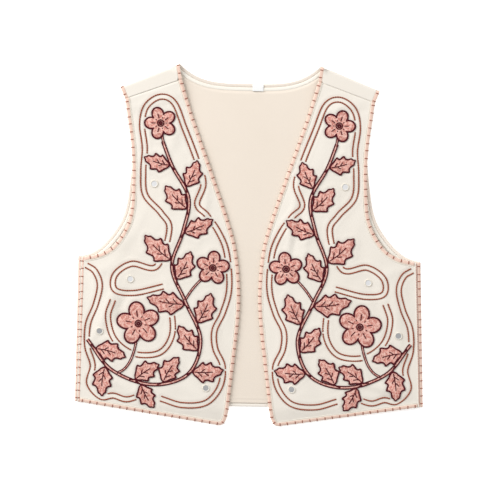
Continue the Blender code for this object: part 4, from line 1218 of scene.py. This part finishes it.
for panel in ("left", "right"):
    buildFront(panel)
    buildFrontStrips(panel)
    buildStitches(panel)
    buildPiping(panel)
    buildOvercast(panel)
buildBack()
buildBackStrips()
buildBackTicks()
buildInside()
buildLabel()
print("panels, strips, lining and label made")

# Sewn motifs: the lift of the cloth pieces, their dome and the drop at their edge; then the cords, each with
# its half width and half height, its lift from the pieces' underside ("top" ones from their upper side), and
# the distance from its own middle line or point
motif = {
    "low": cloth["front"] / 2 + 0.5, "dome": 0.25, "rim": 0.4,
    "outline": ((1.35, 0.75), 0.55), "leafStalk": ((1.1, 0.8), 0.2), "stemSides": ((0.95, 0.75), 0.25, 1.8),
    "stalkSides": ((0.8, 0.65), 0.15, 1.15), "core": ((1.7, 0.6), -0.05),
    "topVein": ((0.75, 0.5), 0.1), "topRing": ((0.9, 0.6), 0.15, 4.6), "topKnot": ((1.2, 0.8), 0.3, 1.9),
}


def buildLeaf(place, number, leaf):
    # a two-sided grid over t and s, its middle a little higher and its edge rounded down
    t = np.concatenate([[0.004, 0.012], np.linspace(0.03, 0.985, 54), [0.994, 0.998]])
    s = np.array([-1.0, -0.985, -0.93, -0.8, -0.62, -0.42, -0.2, 0.0, 0.2, 0.42, 0.62, 0.8, 0.93, 0.985, 1.0])
    flat = leafAt(leaf, *np.broadcast_arrays(t[:, None], s[None]))
    high = cloth["leaf"] + motif["dome"] * np.cos(math.pi / 2 * s) ** 0.5 - motif["rim"] * np.abs(s) ** 12
    piece = shell(f"leaf{place.capitalize()}{number}", place, flat, motif["low"],
                  np.broadcast_to(motif["low"] + high, flat.shape[:2]), "applique")
    made[place].append(piece)


def disc(place, flat, lift):
    # rings of flat points, each at its lift, from the top's middle out over the rim and back in below
    quads = np.vstack([gridQuads(*flat.shape[:2], closedColumns=True), ringCaps(*flat.shape[:2])])
    points = laid(place, flat, np.broadcast_to(lift[:, None], flat.shape[:2]))[0]
    return points.reshape(-1, 3), quads, flat.reshape(-1, 2) * 0.001


def buildBlossom(place, number, blossom):
    # shares of the reach: the top domed as sin πr and rounded down at the rim, then flat below
    name = f"blossom{place.capitalize()}{number}"
    share = np.array([0.01, 0.14, 0.30, 0.46, 0.62, 0.76, 0.88, 0.96, 1.0, 1.0, 0.5, 0.01])
    over = share[:9]
    high = cloth["leaf"] + motif["dome"] * np.sin(math.pi * over) - motif["rim"] * over ** 14
    flat = blossomAt(blossom, *np.broadcast_arrays(fullTurn(180)[None], share[:, None]))
    lift = motif["low"] + np.append(high, np.zeros(3))
    piece = makePiece(name, *disc(place, flat, lift), looks["applique"])
    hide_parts(nodeOf(name))
    made[place].append(piece)


def cord(place, line, lift, size, closed=False):
    # a cord sewn down along a line, with its half width and half height
    path, normals = laid(place, line if closed else spaced(line, 1.0), lift)
    return tube(path, normals, size[0], size[1], closed=closed)


def leafVeins(leaf):
    # the lower part of the midrib and a few curved side veins
    veins = [leafAt(leaf, np.linspace(0.04, 0.66, 40), np.zeros(40))]
    for side, at in ((1.0, 0.16), (-1.0, 0.27), (1.0, 0.38)):
        share = np.linspace(0.0, 0.44, 12)
        veins.append(leafAt(leaf, at + 0.13 * (share / 0.44) ** 1.3, share * side))
    return veins


def blossomVeins(blossom):
    # a line up each petal, and a short one towards each gap between two
    veins = []
    for petal in range(vine["petals"]):
        middle = 2.0 * math.pi * petal / vine["petals"]
        gap = middle + math.pi / vine["petals"]
        veins.append(blossomAt(blossom, np.full(16, middle), np.linspace(0.30, 0.62, 16)))
        veins.append(blossomAt(blossom, np.full(10, gap), np.linspace(0.56, 0.78, 10)))
    return veins


def buildCords(place):
    # plum cord round every motif, finer cord for the veins, and the stem's two cords with a pink core
    low, top = motif["low"], motif["low"] + cloth["leaf"] + motif["dome"]
    (veinSize, veinLift), (stalkSize, stalkLift) = motif["topVein"], motif["leafStalk"]
    size, lift = motif["outline"]
    dark, fine, cores = [cord(place, outline, low + lift, size, True) for outline in outlines], [], []
    for leaf in vine["leaves"]:
        fine += [cord(place, line, top + veinLift, veinSize) for line in leafVeins(leaf)]
        back = pointAt(stem, max(leaf[0] * distances(stem)[-1] - 8.0, 0.0))
        foot = leafAt(leaf, np.array([0.06]), np.array([0.0]))[0]
        dark.append(cord(place, bezier([back, leafFrame(leaf)[3], foot], 30), low + stalkLift, stalkSize))
    for blossom in vine["blossoms"]:
        fine += [cord(place, line, top + veinLift, veinSize) for line in blossomVeins(blossom)]
        for key, count in (("topRing", 60), ("topKnot", 20)):
            size, lift, reach = motif[key]
            circle = np.array(blossom[:2]) + reach * heading(fullTurn(count))
            fine.append(cord(place, circle, top + lift, size, True))
    for line in [stem] + [bezier(stalk, 50) for stalk in vine["stalks"]]:
        size, lift, apart = motif["stemSides" if line is stem else "stalkSides"]
        dark += [cord(place, line + leftOf(line) * apart * side, low + lift, size) for side in (1.0, -1.0)]
        size, lift = motif["core"]
        cores.append(cord(place, line, low + lift, size))
    addTrim(place, "motifCords", dark, "plum")
    addTrim(place, "motifVeins", fine, "plum")
    addTrim(place, "stemCore", cores, "applique")


def buildLines(place):
    # brown cord in stitches: the radius r(0.66 + 0.38·√|sin(πs/stitch)|), sinking at each stitch's end
    parts = []
    for run in runs:
        swell = np.abs(np.sin(distances(run) * math.pi / lines["stitch"])) ** 0.5
        size = lines["radius"] * (0.66 + 0.38 * swell)
        path, normals = laid(place, run, cloth["front"] / 2 - 0.05 + 0.5 * swell)
        parts.append(tube(path, normals, size, size * 0.8, 8))
    addTrim(place, "doubleLines", parts, "line")


def buildMirrors(place):
    # a shallow dome h(1 - r²), and a thread ring round it
    top = cloth["front"] / 2
    share = np.append(np.linspace(0.02, 1.0, 10), [1.0, 0.5, 0.02])
    dome = mirrors["high"] + mirrors["dome"] * (1.0 - share[:10] ** 2)
    lift = top + np.append(dome, np.full(3, mirrors["low"]))
    turn, ring = heading(fullTurn(48)), mirrors["ring"]
    discs, rings = [], []
    for middle in mirrorPlaces:
        discs.append(disc(place, middle + turn[None] * share[:, None, None] * mirrors["radius"], lift))
        path, normals = laid(place, middle + (mirrors["radius"] - 0.1) * turn, top + mirrors["ringLift"])
        rings.append(tube(path, normals, ring, ring, closed=True))
    addTrim(place, "mirrors", discs, "mirror")
    addTrim(place, "mirrorRings", rings, "piping")


for panel in ("left", "right"):
    for number, leaf in enumerate(vine["leaves"], 1):
        buildLeaf(panel, number, leaf)
    for number, blossom in enumerate(vine["blossoms"], 1):
        buildBlossom(panel, number, blossom)
    buildCords(panel)
    buildLines(panel)
    buildMirrors(panel)
print("motifs, cords and mirrors made")

# A white table, soft daylight from the left and above, and a camera straight over it, all in metres
table = {"half": 9.0, "up": -0.0003, "dark": (0.96, 0.96, 0.96), "light": (0.98, 0.98, 0.98), "glow": 0.42}
lamps = {
    "windowLeft": {"place": (-2.6, 1.5, 1.9), "size": 2.4, "energy": 120.0},
    "fillRight": {"place": (2.0, 1.4, 1.7), "size": 2.2, "energy": 26.0},
}
view = {"height": 2.2, "focal": 109.2, "x": 0.00087, "y": -0.00725, "roll": 0.0045, "daylight": 0.485}
white = (1.0, 1.0, 1.0, 1.0)


def addObject(name, data):
    # an object in the scene for a mesh, a light or a camera
    obj = bpy.data.objects.new(name, data)
    bpy.context.scene.collection.objects.link(obj)
    return obj


def buildFloor():
    # one face under the garment, a little lit from within, as white paper that fills the picture
    mesh = bpy.data.meshes.new("table")
    half, up = table["half"], table["up"]
    corners = [(-half, -half, up), (half, -half, up), (half, half, up), (-half, half, up)]
    mesh.from_pydata(corners, [], [(0, 1, 2, 3)])
    paper, tree, shader, _ = startLook("whiteTable", 0.9)
    grain = noise(tree, put(tree, "ShaderNodeTexCoord").outputs["Object"], 400.0, 2.0)
    feed(shader, {"Base Color": blend(tree, grain, table["dark"], table["light"]), "Emission Color": white,
                  "Emission Strength": table["glow"]})
    mesh.materials.append(paper)
    addObject("table", mesh)


def buildLight(name, place, size, energy):
    # a square lamp that faces the middle of the table
    data = bpy.data.lights.new(name, "AREA")
    data.shape, data.size, data.energy = "SQUARE", size, energy
    lamp = addObject(name, data)
    lamp.location = place
    lamp.rotation_euler = (-Vector(place)).to_track_quat("-Z", "Y").to_euler()


def buildCamera():
    # straight over the garment, turned a little as in the photo
    data = bpy.data.cameras.new("camera")
    data.lens, data.sensor_width = view["focal"], 36.0
    camera = addObject("camera", data)
    camera.location = (view["x"], view["y"], view["height"])
    camera.rotation_euler = (0.0, 0.0, view["roll"])
    bpy.context.scene.camera = camera


def buildWorld(level):
    # even white daylight from all sides
    world = bpy.data.worlds.new("daylight")
    world.use_nodes = True
    feed(world.node_tree.nodes["Background"], {"Color": white, "Strength": level})
    bpy.context.scene.world = world


buildFloor()
for name, lamp in lamps.items():
    buildLight(name, **lamp)
buildWorld(view["daylight"])
buildCamera()
bpy.context.scene.view_settings.view_transform = "Standard"
print("table, lights and camera placed")
